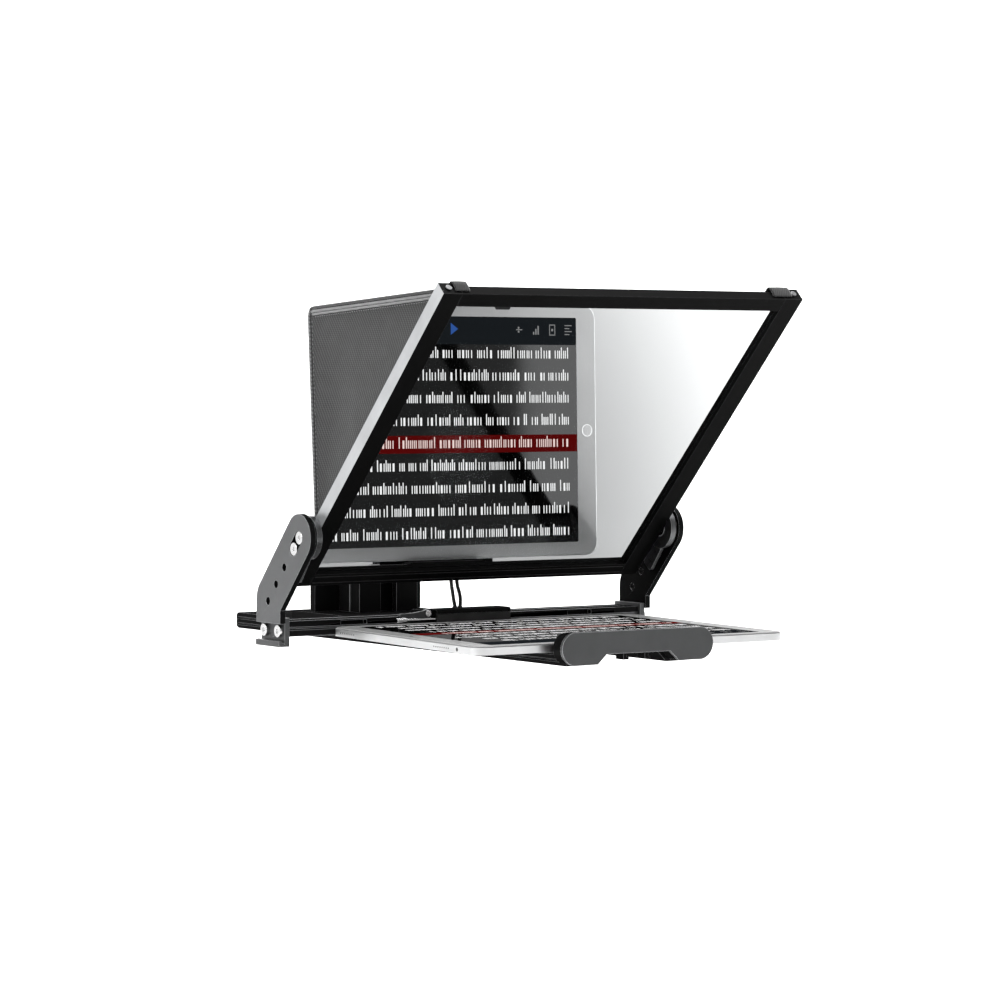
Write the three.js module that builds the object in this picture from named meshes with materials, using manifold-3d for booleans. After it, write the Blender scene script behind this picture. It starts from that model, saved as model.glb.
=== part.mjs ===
// Beam-splitter teleprompter: a tiltable glass frame with a fabric hood on two side arms,
// a long base rail that carries a tablet at the front and a camera riser at the back.
// Millimetres. +X is the right-hand side seen by the presenter, +Y runs from the presenter
// to the camera, +Z is up. The origin is the tripod seat on the underside of the base rail.
import * as THREE from 'three';
import { mergeVertices } from 'three/addons/utils/BufferGeometryUtils.js';
import Module from 'manifold-3d';

const wasm = await Module();
wasm.setup();

// ---------------------------------------------------------------- driving dimensions
// The layout below is measured from the tablet's front edge: Y = 0 at that edge and Z = 0 at
// the tablet's face there. SEAT_Y and RAIL_BOTTOM move it so that the tripod seat is the origin.
const GAP = 0.3;

const RAIL_HALF = 58;
const RAIL_FRONT = 0.5;
const RAIL_REAR = 527.6;
const RAIL_TOP = -4.9;
const RAIL_BOTTOM = -19;
const BED_TOP = -7.6;
const BED_REAR = 228;
const CHANNEL_TOP = -10.6;
const CHANNEL_HALF_TOP = 31;
const CHANNEL_HALF_BOTTOM = 39.6;
const SEAT_Y = 335;
const END_CAP = 2.6;

const TABLET_WIDTH = 305.7;
const TABLET_DEPTH = 220.6;
const TABLET_THICK = 6.9;
const TABLET_OFFSET = 9.8;
const TABLET_PITCH = THREE.MathUtils.degToRad(0.74);

const HOLDER_HALF = 73.7;
const HOLDER_TOP = 9;
const HOLDER_BOTTOM = -17.1;
const HOLDER_FRONT = -17;
const NOTCH_TOP = -9.1;
const NOTCH_HALF_TOP = 31;
const NOTCH_HALF_BOTTOM = 39.6;

const BAR_FRONT = 230;
const BAR_REAR = 263.4;
const BAR_BOTTOM = -4.6;
const BAR_TOP = 8.4;
const BAR_HALF = 177.5;

const FRAME_WIDTH = 350.2;
const FRAME_LENGTH = 332.6;
const FRAME_THICK = 12;
const SIDE_BAR = 17.6;
const END_BAR = 13.5;
const GLASS_SLOPE = THREE.MathUtils.degToRad(45.24);
const AXIS_ALONG = 54;
const AXIS_DEPTH = 5;
const AXIS_Y = 196;
const AXIS_Z = 78.6;
const GLASS_THICK = 3;
const GLASS_RECESS = 4;
const REBATE = 4.5;

const ARM_INNER = 182.6;
const ARM_THICK = 5;
const ARM_RADIUS = 19.5;
const ARM_REAR = 265.2;
const ARM_FRONT = 226;
const ARM_BOTTOM = 6.6;
const ARM_LEAN = THREE.MathUtils.degToRad(-47.2);

const CARRIAGE_FRONT = 297.6;
const CARRIAGE_REAR = 435.8;
const CARRIAGE_TOP = 2.3;
const COLUMN_HALF = 30;
const COLUMN_FRONT = 360;
const COLUMN_REAR = 394;
const COLUMN_TOP = 48.4;
const LIFT_HALF = 55;
const LIFT_THICK = 8;
const CAMERA_Y = 430;
const CAMERA_SEAT_Z = 68;

const HOOD_HALF = 166;
const HOOD_WALL = 2;
const HOOD_REAR_TOP = [217, 266];
const HOOD_REAR_LOW = [205.5, 83];
const LENS_Z = 140;
const SLEEVE_END = 257;

// ---------------------------------------------------------------- finishes
function finish(color, roughness, metalness) {
  return new THREE.MeshStandardMaterial({ color, roughness, metalness });
}

const blackAnodised = () => finish(0x1b1c1e, 0.45, 0.8);
const greyAnodised = () => finish(0x5c5e61, 0.4, 0.8);
const bareAluminium = () => finish(0xb9bbbe, 0.3, 0.95);
const steel = () => finish(0xd0d1d2, 0.25, 1.0);
const rubber = () => finish(0x141414, 0.9, 0.0);
const fabric = () => finish(0x3b3c3e, 0.95, 0.0);

// ---------------------------------------------------------------- solid helpers
function toSolid(geometry) {
  const bare = geometry.clone();
  bare.deleteAttribute('normal');
  bare.deleteAttribute('uv');
  const merged = mergeVertices(bare, 1e-4);
  const vertProperties = new Float32Array(merged.attributes.position.array);
  const triVerts = new Uint32Array(merged.index.array);
  return new wasm.Manifold(new wasm.Mesh({ numProp: 3, vertProperties, triVerts }));
}

function toGeometry(solid) {
  const mesh = solid.getMesh();
  const geometry = new THREE.BufferGeometry();
  geometry.setAttribute('position', new THREE.BufferAttribute(new Float32Array(mesh.vertProperties), 3));
  geometry.setIndex(new THREE.BufferAttribute(new Uint32Array(mesh.triVerts), 1));
  geometry.computeVertexNormals();
  return geometry;
}

function cut(base, ...tools) {
  return toGeometry(tools.reduce((solid, tool) => solid.subtract(toSolid(tool)), toSolid(base)));
}

function join(base, ...others) {
  return toGeometry(others.reduce((solid, other) => solid.add(toSolid(other)), toSolid(base)));
}

function box(x0, x1, y0, y1, z0, z1) {
  const geometry = new THREE.BoxGeometry(x1 - x0, y1 - y0, z1 - z0);
  return geometry.translate((x0 + x1) / 2, (y0 + y1) / 2, (z0 + z1) / 2);
}

// A closed outline given as [a, b] points.
function outline(points) {
  return new THREE.Shape(points.map(([a, b]) => new THREE.Vector2(a, b)));
}

function roundedRect(a0, a1, b0, b1, radius) {
  const shape = new THREE.Shape();
  shape.moveTo(a0 + radius, b0);
  shape.lineTo(a1 - radius, b0);
  shape.absarc(a1 - radius, b0 + radius, radius, -Math.PI / 2, 0, false);
  shape.lineTo(a1, b1 - radius);
  shape.absarc(a1 - radius, b1 - radius, radius, 0, Math.PI / 2, false);
  shape.lineTo(a0 + radius, b1);
  shape.absarc(a0 + radius, b1 - radius, radius, Math.PI / 2, Math.PI, false);
  shape.lineTo(a0, b0 + radius);
  shape.absarc(a0 + radius, b0 + radius, radius, Math.PI, 1.5 * Math.PI, false);
  return shape;
}

function circle(a, b, radius) {
  const shape = new THREE.Shape();
  shape.absarc(a, b, radius, 0, 2 * Math.PI, false);
  return shape;
}

function extrude(shape, depth, segments) {
  return new THREE.ExtrudeGeometry(shape, { depth, bevelEnabled: false, curveSegments: segments });
}

// The outline's (a, b) are (Y, Z) for alongX, (X, Z) for alongY and (X, Y) for alongZ.
function alongX(shape, x0, x1, segments = 8) {
  const turn = new THREE.Matrix4().makeBasis(
    new THREE.Vector3(0, 1, 0), new THREE.Vector3(0, 0, 1), new THREE.Vector3(1, 0, 0));
  return extrude(shape, x1 - x0, segments).applyMatrix4(turn).translate(x0, 0, 0);
}

function alongY(shape, y0, y1, segments = 8) {
  const turn = new THREE.Matrix4().makeBasis(
    new THREE.Vector3(1, 0, 0), new THREE.Vector3(0, 0, 1), new THREE.Vector3(0, -1, 0));
  return extrude(shape, y1 - y0, segments).applyMatrix4(turn).translate(0, y1, 0);
}

function alongZ(shape, z0, z1, segments = 8) {
  return extrude(shape, z1 - z0, segments).translate(0, 0, z0);
}

function rodX(x0, x1, y, z, radius, sides = 24) {
  return new THREE.CylinderGeometry(radius, radius, x1 - x0, sides)
    .rotateZ(Math.PI / 2).translate((x0 + x1) / 2, y, z);
}

function rodY(y0, y1, x, z, radius, sides = 24) {
  return new THREE.CylinderGeometry(radius, radius, y1 - y0, sides).translate(x, (y0 + y1) / 2, z);
}

function rodZ(z0, z1, x, y, radius, sides = 24) {
  return new THREE.CylinderGeometry(radius, radius, z1 - z0, sides)
    .rotateX(Math.PI / 2).translate(x, y, (z0 + z1) / 2);
}

// A knurled grip: a gear-like outline of shallow teeth.
function gripOutline(a, b, radius, teeth, depth) {
  const points = [];
  for (let i = 0; i < 2 * teeth; i += 1) {
    const angle = (Math.PI * i) / teeth;
    const reach = i % 2 === 0 ? radius : radius - depth;
    points.push([a + reach * Math.cos(angle), b + reach * Math.sin(angle)]);
  }
  return outline(points);
}

function addPart(parent, name, geometry, material) {
  const mesh = new THREE.Mesh(geometry, material);
  mesh.name = name;
  parent.add(mesh);
  return mesh;
}

const SIDES = [['left', -1], ['right', 1]];

// ---------------------------------------------------------------- base rail
function railOutline() {
  const groove = 1.2;
  const side = (sign) => [
    [sign * RAIL_HALF, RAIL_BOTTOM + 3],
    [sign * (RAIL_HALF - groove), RAIL_BOTTOM + 4],
    [sign * RAIL_HALF, RAIL_BOTTOM + 5],
    [sign * RAIL_HALF, RAIL_BOTTOM + 8.4],
    [sign * (RAIL_HALF - groove), RAIL_BOTTOM + 9.4],
    [sign * RAIL_HALF, RAIL_BOTTOM + 10.4],
  ];
  return outline([
    [CHANNEL_HALF_BOTTOM, RAIL_BOTTOM],
    [RAIL_HALF, RAIL_BOTTOM],
    ...side(1),
    [RAIL_HALF, RAIL_TOP],
    [-RAIL_HALF, RAIL_TOP],
    ...side(-1).reverse(),
    [-RAIL_HALF, RAIL_BOTTOM],
    [-CHANNEL_HALF_BOTTOM, RAIL_BOTTOM],
    [-CHANNEL_HALF_TOP, CHANNEL_TOP],
    [CHANNEL_HALF_TOP, CHANNEL_TOP],
  ]);
}

const RAIL_SLOT_FRONT = 380;
const RAIL_SLOT_REAR = 512;
const RAIL_SLOT_HALF = 3.4;
const GUIDE_X = 49;
const GUIDE_Z = -14.8;
const GUIDE_RADIUS = 2.6;
const GUIDE_REAR = 118;
const LOCK_Y = 42;
const LOCK_Z = -13.6;

function buildBase(rig) {
  const bed = box(-RAIL_HALF - 1, RAIL_HALF + 1, RAIL_FRONT - 1, BED_REAR, BED_TOP, RAIL_TOP + 1);
  const slot = alongZ(
    roundedRect(-RAIL_SLOT_HALF, RAIL_SLOT_HALF, RAIL_SLOT_FRONT, RAIL_SLOT_REAR, RAIL_SLOT_HALF - 0.1),
    CHANNEL_TOP - 1, RAIL_TOP + 1, 6);
  const guideBores = SIDES.map(([, sign]) =>
    rodY(RAIL_FRONT - 1, GUIDE_REAR + 64, sign * GUIDE_X, GUIDE_Z, GUIDE_RADIUS + GAP, 16));
  const lockBore = rodX(50, RAIL_HALF + 1, LOCK_Y, LOCK_Z, 2.4, 12);
  addPart(rig, 'base_rail',
    cut(alongY(railOutline(), RAIL_FRONT, RAIL_REAR), bed, slot, lockBore, ...guideBores), blackAnodised());

  const capShape = roundedRect(-RAIL_HALF, RAIL_HALF, RAIL_BOTTOM, RAIL_TOP, 3);
  addPart(rig, 'rail_end_cap', alongY(capShape, RAIL_REAR + GAP, RAIL_REAR + GAP + END_CAP, 4),
    blackAnodised());

  // Tripod shoe in the rail's channel, with a 1/4 in and a 3/8 in threaded hole.
  const shoe = box(-30.4, 30.4, SEAT_Y - 38, SEAT_Y + 38, RAIL_BOTTOM, CHANNEL_TOP - GAP);
  const smallThread = rodZ(RAIL_BOTTOM - 1, CHANNEL_TOP, 0, SEAT_Y - 20, 3.2, 16);
  const largeThread = rodZ(RAIL_BOTTOM - 1, CHANNEL_TOP, 0, SEAT_Y + 20, 4.8, 16);
  addPart(rig, 'tripod_shoe', cut(shoe, smallThread, largeThread), steel());

  addPart(rig, 'tablet_rest_pad', box(-52, 52, 197, 213, BED_TOP + GAP, -4.8), rubber());
}

// ---------------------------------------------------------------- crossbar and end brackets
const BRACKET_SCREWS = [235, 257.6];
const BRACKET_SCREW_Z = 0.2;

function buildCrossbar(rig) {
  const middle = (BAR_FRONT + BAR_REAR) / 2;
  const bar = alongX(outline([
    [BAR_FRONT, BAR_BOTTOM],
    [BAR_REAR, BAR_BOTTOM],
    [BAR_REAR, 0.7],
    [BAR_REAR - 1.2, 1.9],
    [BAR_REAR, 3.1],
    [BAR_REAR, BAR_TOP],
    [middle + 4, BAR_TOP],
    [middle + 4, BAR_TOP - 3],
    [middle - 4, BAR_TOP - 3],
    [middle - 4, BAR_TOP],
    [BAR_FRONT, BAR_TOP],
    [BAR_FRONT, 3.1],
    [BAR_FRONT + 1.2, 1.9],
    [BAR_FRONT, 0.7],
  ]), -BAR_HALF, BAR_HALF);
  const pockets = SIDES.map(([, sign]) =>
    box(sign * 114.5 - 12.5, sign * 114.5 + 12.5, BAR_FRONT - 1, BAR_FRONT + 5, 3.6, 7));
  addPart(rig, 'crossbar', cut(bar, ...pockets), blackAnodised());

  for (const [side, sign] of SIDES) {
    // Web against the bar's end, with a hooked foot that turns outwards below the arm.
    const profile = outline([
      [177.8, -12.6],
      [188, -12.6],
      [188, -7.8],
      [185.6, -7.2],
      [184.6, -9.2],
      [182.4, -9.2],
      [182.4, 11.2],
      [177.8, 11.2],
    ].map(([x, z]) => [sign * x, z]));
    addPart(rig, `end_bracket_${side}`, cut(alongY(profile, 227.4, 266),
      ...BRACKET_SCREWS.map((y) => rodX(sign * 179.9 - 3.2, sign * 179.9 + 3.2, y, BRACKET_SCREW_Z, 2.6, 16))),
    greyAnodised());

    BRACKET_SCREWS.forEach((y, index) => {
      const head = rodX(...across(sign, 182.7, 185.4), y, BRACKET_SCREW_Z, 5.2, 20);
      const shank = rodX(...across(sign, 177.8, 183), y, BRACKET_SCREW_Z, 2.2, 12);
      const socket = rodX(...across(sign, 184, 186), y, BRACKET_SCREW_Z, 2, 6);
      const screw = cut(join(head, shank), socket);
      addPart(rig, `bracket_screw_${side}_${index + 1}`, screw, steel());
    });
  }
}

// ---------------------------------------------------------------- front holder
function holderOutline(inset) {
  const radius = (HOLDER_TOP - HOLDER_BOTTOM) / 2 - inset;
  const middle = (HOLDER_TOP + HOLDER_BOTTOM) / 2;
  const centre = HOLDER_HALF - radius - inset;
  const bottom = HOLDER_BOTTOM + inset;
  const shape = new THREE.Shape();
  shape.moveTo(NOTCH_HALF_BOTTOM, bottom);
  shape.lineTo(centre, bottom);
  shape.absarc(centre, middle, radius, -Math.PI / 2, Math.PI / 2, false);
  shape.lineTo(-centre, HOLDER_TOP - inset);
  shape.absarc(-centre, middle, radius, Math.PI / 2, 1.5 * Math.PI, false);
  shape.lineTo(-NOTCH_HALF_BOTTOM, bottom);
  shape.lineTo(-NOTCH_HALF_TOP, NOTCH_TOP);
  shape.lineTo(NOTCH_HALF_TOP, NOTCH_TOP);
  return shape;
}

function buildHolder(rig) {
  addPart(rig, 'holder_plate', alongY(holderOutline(0), HOLDER_FRONT, HOLDER_FRONT + 3, 12), greyAnodised());

  const bodyFront = HOLDER_FRONT + 3 + GAP;
  const bodyRear = -3.2;
  const body = alongY(holderOutline(0.5), bodyFront, bodyRear, 12);
  const claws = [-10.1, 10.8].map((x) => alongY(outline([
    [x - 2.6, NOTCH_TOP + 1],
    [x - 2.6, -14.6],
    [x + 2.7, -14.6],
    [x + 2.7, -12.6],
    [x + 0.7, -12.6],
    [x + 0.7, NOTCH_TOP + 1],
  ]), bodyFront, bodyRear));
  addPart(rig, 'holder_body', join(body, ...claws), blackAnodised());

  const pad = roundedRect(-68, 68, -7.2, 7.4, 3);
  addPart(rig, 'holder_pad', alongY(pad, bodyRear + GAP, -0.35, 4), rubber());

  for (const [side, sign] of SIDES) {
    addPart(rig, `holder_guide_${side}`,
      rodY(bodyRear + GAP, GUIDE_REAR, sign * GUIDE_X, GUIDE_Z, GUIDE_RADIUS, 16), steel());
  }

  // Side screw that pinches the right guide rod inside the rail.
  const knob = join(
    alongX(gripOutline(LOCK_Y, LOCK_Z, 5.1, 14, 0.6), RAIL_HALF + 1, RAIL_HALF + 11),
    rodX(52.4, RAIL_HALF + 2, LOCK_Y, LOCK_Z, 2.1, 12));
  addPart(rig, 'holder_lock_knob', knob, blackAnodised());
}

// ---------------------------------------------------------------- rear jaw
const JAW_HALF = 37.3;
const JAW_TOP = 13.2;
const LEVER_X = -43.5;
const LEVER_Z = 10.3;

function buildJaw(rig) {
  // L section: a thin leg behind the tablet's rear edge and a ledge over the crossbar.
  const section = new THREE.Shape();
  section.moveTo(223.6, -3.4);
  section.lineTo(225.4, -3.4);
  section.lineTo(225.4, BAR_TOP + GAP);
  section.lineTo(243, BAR_TOP + GAP);
  section.lineTo(243, JAW_TOP - 1.2);
  section.lineTo(241.8, JAW_TOP);
  section.lineTo(224, JAW_TOP);
  section.absarc(224, JAW_TOP - 2, 2, Math.PI / 2, Math.PI, false);
  section.lineTo(222, 9.6);
  section.lineTo(223.6, 9.6);
  const ear = box(-49, -JAW_HALF + 1, 230, 243, BAR_TOP + GAP, JAW_TOP);
  const pivotHole = rodY(229, 244, LEVER_X, LEVER_Z, 1.3, 12);
  addPart(rig, 'rear_jaw', cut(join(alongX(section, -JAW_HALF, JAW_HALF, 4), ear), pivotHole),
    blackAnodised());

  addPart(rig, 'rear_jaw_pad', alongX(roundedRect(221.5, 223.3, -3.4, 9.2, 0.6), -JAW_HALF + 0.4,
    JAW_HALF - 0.4, 2), rubber());

  // Cam lever at the jaw's left end, pivoting on a screw that runs along Y into the jaw's ear.
  const lever = new THREE.Shape();
  lever.moveTo(LEVER_X, LEVER_Z - 3.7);
  lever.lineTo(-69.6, 7.2);
  lever.absarc(-69.6, 8.9, 1.7, 1.5 * Math.PI, 0.5 * Math.PI, true);
  lever.quadraticCurveTo(-56, 10.6, -47.5, 12.6);
  lever.lineTo(LEVER_X, LEVER_Z + 3.7);
  lever.absarc(LEVER_X, LEVER_Z, 3.7, 0.5 * Math.PI, -0.5 * Math.PI, true);
  addPart(rig, 'jaw_lock_lever',
    cut(alongY(lever, 226.6, 229.6, 6), rodY(226, 230, LEVER_X, LEVER_Z, 1.3, 12)), greyAnodised());
  addPart(rig, 'jaw_lever_screw', join(rodY(225.5, 226.3, LEVER_X, LEVER_Z, 2.8, 16),
    rodY(226, 241, LEVER_X, LEVER_Z, 1, 12)), steel());

  // Thumb screw that runs along the jaw in front of the lever.
  addPart(rig, 'jaw_thumb_screw', join(
    alongX(gripOutline(224.1, 5.4, 2.1, 10, 0.35), -76, -66.5),
    rodX(-67, -JAW_HALF - GAP, 224.1, 5.4, 1.1, 12)), steel());
}

// ---------------------------------------------------------------- camera carriage and riser
function buildCarriage(rig) {
  const plate = alongZ(roundedRect(-RAIL_HALF, RAIL_HALF, CARRIAGE_FRONT, CARRIAGE_REAR, 8),
    RAIL_TOP + GAP, CARRIAGE_TOP, 6);
  const key = alongZ(roundedRect(-2.8, 2.8, 396, 414, 2.7), CHANNEL_TOP + 1, RAIL_TOP + 1, 4);
  addPart(rig, 'carriage_plate', join(plate, key), blackAnodised());

  const knob = join(
    alongZ(gripOutline(0, 405, 14, 20, 0.9), RAIL_BOTTOM + 0.6, CHANNEL_TOP - 1.4),
    rodZ(CHANNEL_TOP - 1.6, CHANNEL_TOP - GAP, 0, 405, 7, 24));
  addPart(rig, 'carriage_lock_knob', knob, blackAnodised());

  // Riser column: an extrusion with one open slot in front, one behind and a line on each side.
  const column = outline([
    [-COLUMN_HALF, COLUMN_FRONT], [-8.2, COLUMN_FRONT], [-8.2, COLUMN_FRONT + 4],
    [-12, COLUMN_FRONT + 4], [-12, COLUMN_FRONT + 12], [12, COLUMN_FRONT + 12],
    [12, COLUMN_FRONT + 4], [8.2, COLUMN_FRONT + 4], [8.2, COLUMN_FRONT],
    [COLUMN_HALF, COLUMN_FRONT], [COLUMN_HALF, COLUMN_FRONT + 15], [COLUMN_HALF - 1, COLUMN_FRONT + 16],
    [COLUMN_HALF, COLUMN_FRONT + 17], [COLUMN_HALF, COLUMN_REAR], [6.5, COLUMN_REAR],
    [6.5, COLUMN_REAR - 4], [11, COLUMN_REAR - 4], [11, COLUMN_REAR - 11], [-11, COLUMN_REAR - 11],
    [-11, COLUMN_REAR - 4], [-6.5, COLUMN_REAR - 4], [-6.5, COLUMN_REAR], [-COLUMN_HALF, COLUMN_REAR],
    [-COLUMN_HALF, COLUMN_FRONT + 17], [-COLUMN_HALF + 1, COLUMN_FRONT + 16],
    [-COLUMN_HALF, COLUMN_FRONT + 15],
  ]);
  addPart(rig, 'riser_column', alongZ(column, CARRIAGE_TOP + GAP, COLUMN_TOP), blackAnodised());

  // Lift bracket: an upright plate behind the column, a platform on top and two gussets.
  const liftFront = COLUMN_REAR + 0.6;
  const liftRear = liftFront + LIFT_THICK;
  const upright = box(-LIFT_HALF, LIFT_HALF, liftFront, liftRear, CARRIAGE_TOP + 0.6, 50);
  const platform = alongZ(roundedRect(-36, 36, 372, 478, 6), COLUMN_TOP + GAP, 56.4, 5);
  const gussets = SIDES.map(([, sign]) => {
    const inner = Math.min(sign * 26, sign * 31);
    return alongX(outline([[liftRear - 0.5, 12], [470, COLUMN_TOP + 1], [liftRear - 0.5, COLUMN_TOP + 1]]),
      inner, inner + 5);
  });
  const tongue = box(-6, 6, COLUMN_REAR - 3.6, liftFront + 1, 10, 44);
  const knobHole = rodY(COLUMN_REAR - 5, liftRear + 1, 0, 28, 3.2, 16);
  addPart(rig, 'lift_bracket', cut(join(upright, platform, ...gussets, tongue), knobHole), blackAnodised());

  addPart(rig, 'lift_lock_knob', join(
    alongY(gripOutline(0, 28, 11, 16, 0.9), liftRear + 3, liftRear + 17),
    rodY(liftRear + GAP, liftRear + 4, 0, 28, 6, 20),
    rodY(COLUMN_REAR - 3, liftRear + 1, 0, 28, 2.8, 16)), blackAnodised());

  // Quick-release clamp with a dovetail channel, its sliding plate, clamp knob and camera screw.
  const clampFront = CAMERA_Y - 42;
  const clampRear = CAMERA_Y + 42;
  const clamp = alongY(outline([
    [-33, 56.7], [33, 56.7], [33, 66.5], [25.5, 66.5], [28.5, 60.2], [-28.5, 60.2],
    [-25.5, 66.5], [-33, 66.5],
  ]), clampFront, clampRear);
  const knobBore = rodX(28, 36, CAMERA_Y + 12, 61.5, 1.6, 12);
  addPart(rig, 'quick_release_clamp', cut(clamp, knobBore), blackAnodised());

  const plateShape = alongY(outline([
    [-28.1, 60.5], [28.1, 60.5], [24.9, 67], [24.9, CAMERA_SEAT_Z], [-24.9, CAMERA_SEAT_Z], [-24.9, 67],
  ]), CAMERA_Y - 45, CAMERA_Y + 45);
  const screwSlot = alongZ(roundedRect(-3.6, 3.6, CAMERA_Y - 30, CAMERA_Y + 10, 3.5), 64.6, 70, 5);
  const headSlot = alongZ(roundedRect(-7.6, 7.6, CAMERA_Y - 34, CAMERA_Y + 14, 7.5), 60, 64.6, 6);
  addPart(rig, 'quick_release_plate', cut(plateShape, screwSlot, headSlot), greyAnodised());

  addPart(rig, 'camera_screw', join(
    rodZ(61, 64.3, 0, CAMERA_Y, 7, 24),
    rodZ(64, CAMERA_SEAT_Z + 5, 0, CAMERA_Y, 3.1, 16)), steel());

  addPart(rig, 'clamp_knob', join(
    alongX(gripOutline(CAMERA_Y + 12, 61.5, 8.5, 14, 0.8), 36.6, 49),
    rodX(33.3, 37, CAMERA_Y + 12, 61.5, 4.5, 20)), blackAnodised());
}

// ---------------------------------------------------------------- side arms and tilt hinges
const SLOT_SCREW_STEP = 13;
const ARM_HOLES = [34.2, 53.9, 73.4];

function armPoint(along, across = 0) {
  const y = AXIS_Y + along * Math.cos(ARM_LEAN) - across * Math.sin(ARM_LEAN);
  const z = AXIS_Z + along * Math.sin(ARM_LEAN) + across * Math.cos(ARM_LEAN);
  return [y, z];
}

function armOutline() {
  const upAngle = ARM_LEAN + Math.PI / 2;
  const rearReach = (ARM_REAR - armPoint(0, ARM_RADIUS)[0]) / Math.cos(ARM_LEAN);
  const frontReach = (ARM_FRONT - armPoint(0, -ARM_RADIUS)[0]) / Math.cos(ARM_LEAN);
  const rearKnee = armPoint(rearReach, ARM_RADIUS);
  const frontKnee = armPoint(frontReach, -ARM_RADIUS);
  const kneeStart = armPoint(rearReach - 8, ARM_RADIUS);
  const shape = new THREE.Shape();
  shape.moveTo(ARM_FRONT, ARM_BOTTOM);
  shape.lineTo(ARM_REAR, ARM_BOTTOM);
  shape.lineTo(ARM_REAR, rearKnee[1] - 8);
  shape.quadraticCurveTo(ARM_REAR, rearKnee[1], kneeStart[0], kneeStart[1]);
  shape.absarc(AXIS_Y, AXIS_Z, ARM_RADIUS, upAngle, upAngle + Math.PI, false);
  shape.lineTo(frontKnee[0], frontKnee[1]);
  return shape;
}

// A slot with round ends along the arm's centre line.
function armSlot(from, to, radius) {
  const angle = ARM_LEAN + Math.PI / 2;
  const [y0, z0] = armPoint(from);
  const [y1, z1] = armPoint(to);
  const shape = new THREE.Shape();
  shape.absarc(y0, z0, radius, angle, angle + Math.PI, false);
  shape.absarc(y1, z1, radius, angle + Math.PI, angle + 2 * Math.PI, false);
  return shape;
}

function across(sign, x0, x1) {
  return sign > 0 ? [x0, x1] : [-x1, -x0];
}

function buildArms(rig) {
  const outer = ARM_INNER + ARM_THICK;
  for (const [side, sign] of SIDES) {
    const [a0, a1] = across(sign, ARM_INNER, outer);
    const [c0, c1] = across(sign, ARM_INNER - 1, outer + 1);
    const holes = ARM_HOLES.map((along) => alongX(circle(...armPoint(along), 3.3), c0, c1, 12));
    const slot = alongX(armSlot(0, SLOT_SCREW_STEP, 5.9), c0, c1, 8);
    addPart(rig, `arm_${side}`, cut(alongX(armOutline(), a0, a1, 12), slot, ...holes), greyAnodised());

    // Hinge boss: a flange screwed to the arm, with a journal and a pin into the frame's side bar.
    const [f0, f1] = across(sign, 180.6, ARM_INNER - GAP);
    const [j0, j1] = across(sign, 175.8, 181);
    const [p0, p1] = across(sign, 162.4, 177);
    const shankHoles = [0, SLOT_SCREW_STEP].map((along) =>
      rodX(...across(sign, 179.6, ARM_INNER), ...armPoint(along), 2.9, 12));
    const boss = join(rodX(f0, f1, AXIS_Y, AXIS_Z, 17, 32), rodX(j0, j1, AXIS_Y, AXIS_Z, 7.6, 24),
      rodX(p0, p1, AXIS_Y, AXIS_Z, 3.6, 16));
    addPart(rig, `hinge_boss_${side}`, cut(boss, ...shankHoles), blackAnodised());

    [0, SLOT_SCREW_STEP].forEach((along, index) => {
      const place = armPoint(along);
      const screw = join(rodX(...across(sign, ARM_INNER + 0.2, outer - 0.3), ...place, 5.4, 24),
        rodX(...across(sign, 181, ARM_INNER + 1), ...place, 2.5, 12));
      const socket = rodX(...across(sign, outer - 2, outer + 1), ...place, 1.9, 6);
      addPart(rig, `arm_screw_${side}_${index + 1}`, cut(screw, socket), steel());
    });

    buildTiltLock(rig, side, sign);
  }
}

// Tilt lock: a disc on the hinge boss's journal with a paddle that hangs behind the frame.
const LOCK_RADIUS = 18;
const PADDLE_LEAN = THREE.MathUtils.degToRad(-51.5);

function buildTiltLock(rig, side, sign) {
  const [d0, d1] = across(sign, 175.5, 180.3);
  const [b0, b1] = across(sign, 175, 181);
  const [n0, n1] = across(sign, 176.6, 179.6);
  const disc = rodX(d0, d1, AXIS_Y, AXIS_Z, LOCK_RADIUS, 40);
  const paddle = alongX(roundedRect(-3, 23.5, -6.2, 6.2, 2.5), n0, n1, 4)
    .rotateX(PADDLE_LEAN).translate(0, 201.2, 62.4);
  const neck = alongX(roundedRect(-8, 3, -3, 3, 1), n0, n1, 2).rotateX(PADDLE_LEAN).translate(0, 201.2, 62.4);
  const bore = rodX(b0, b1, AXIS_Y, AXIS_Z, 7.9, 24);
  addPart(rig, `tilt_lock_${side}`, cut(join(disc, paddle, neck), bore), bareAluminium());
}

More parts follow.
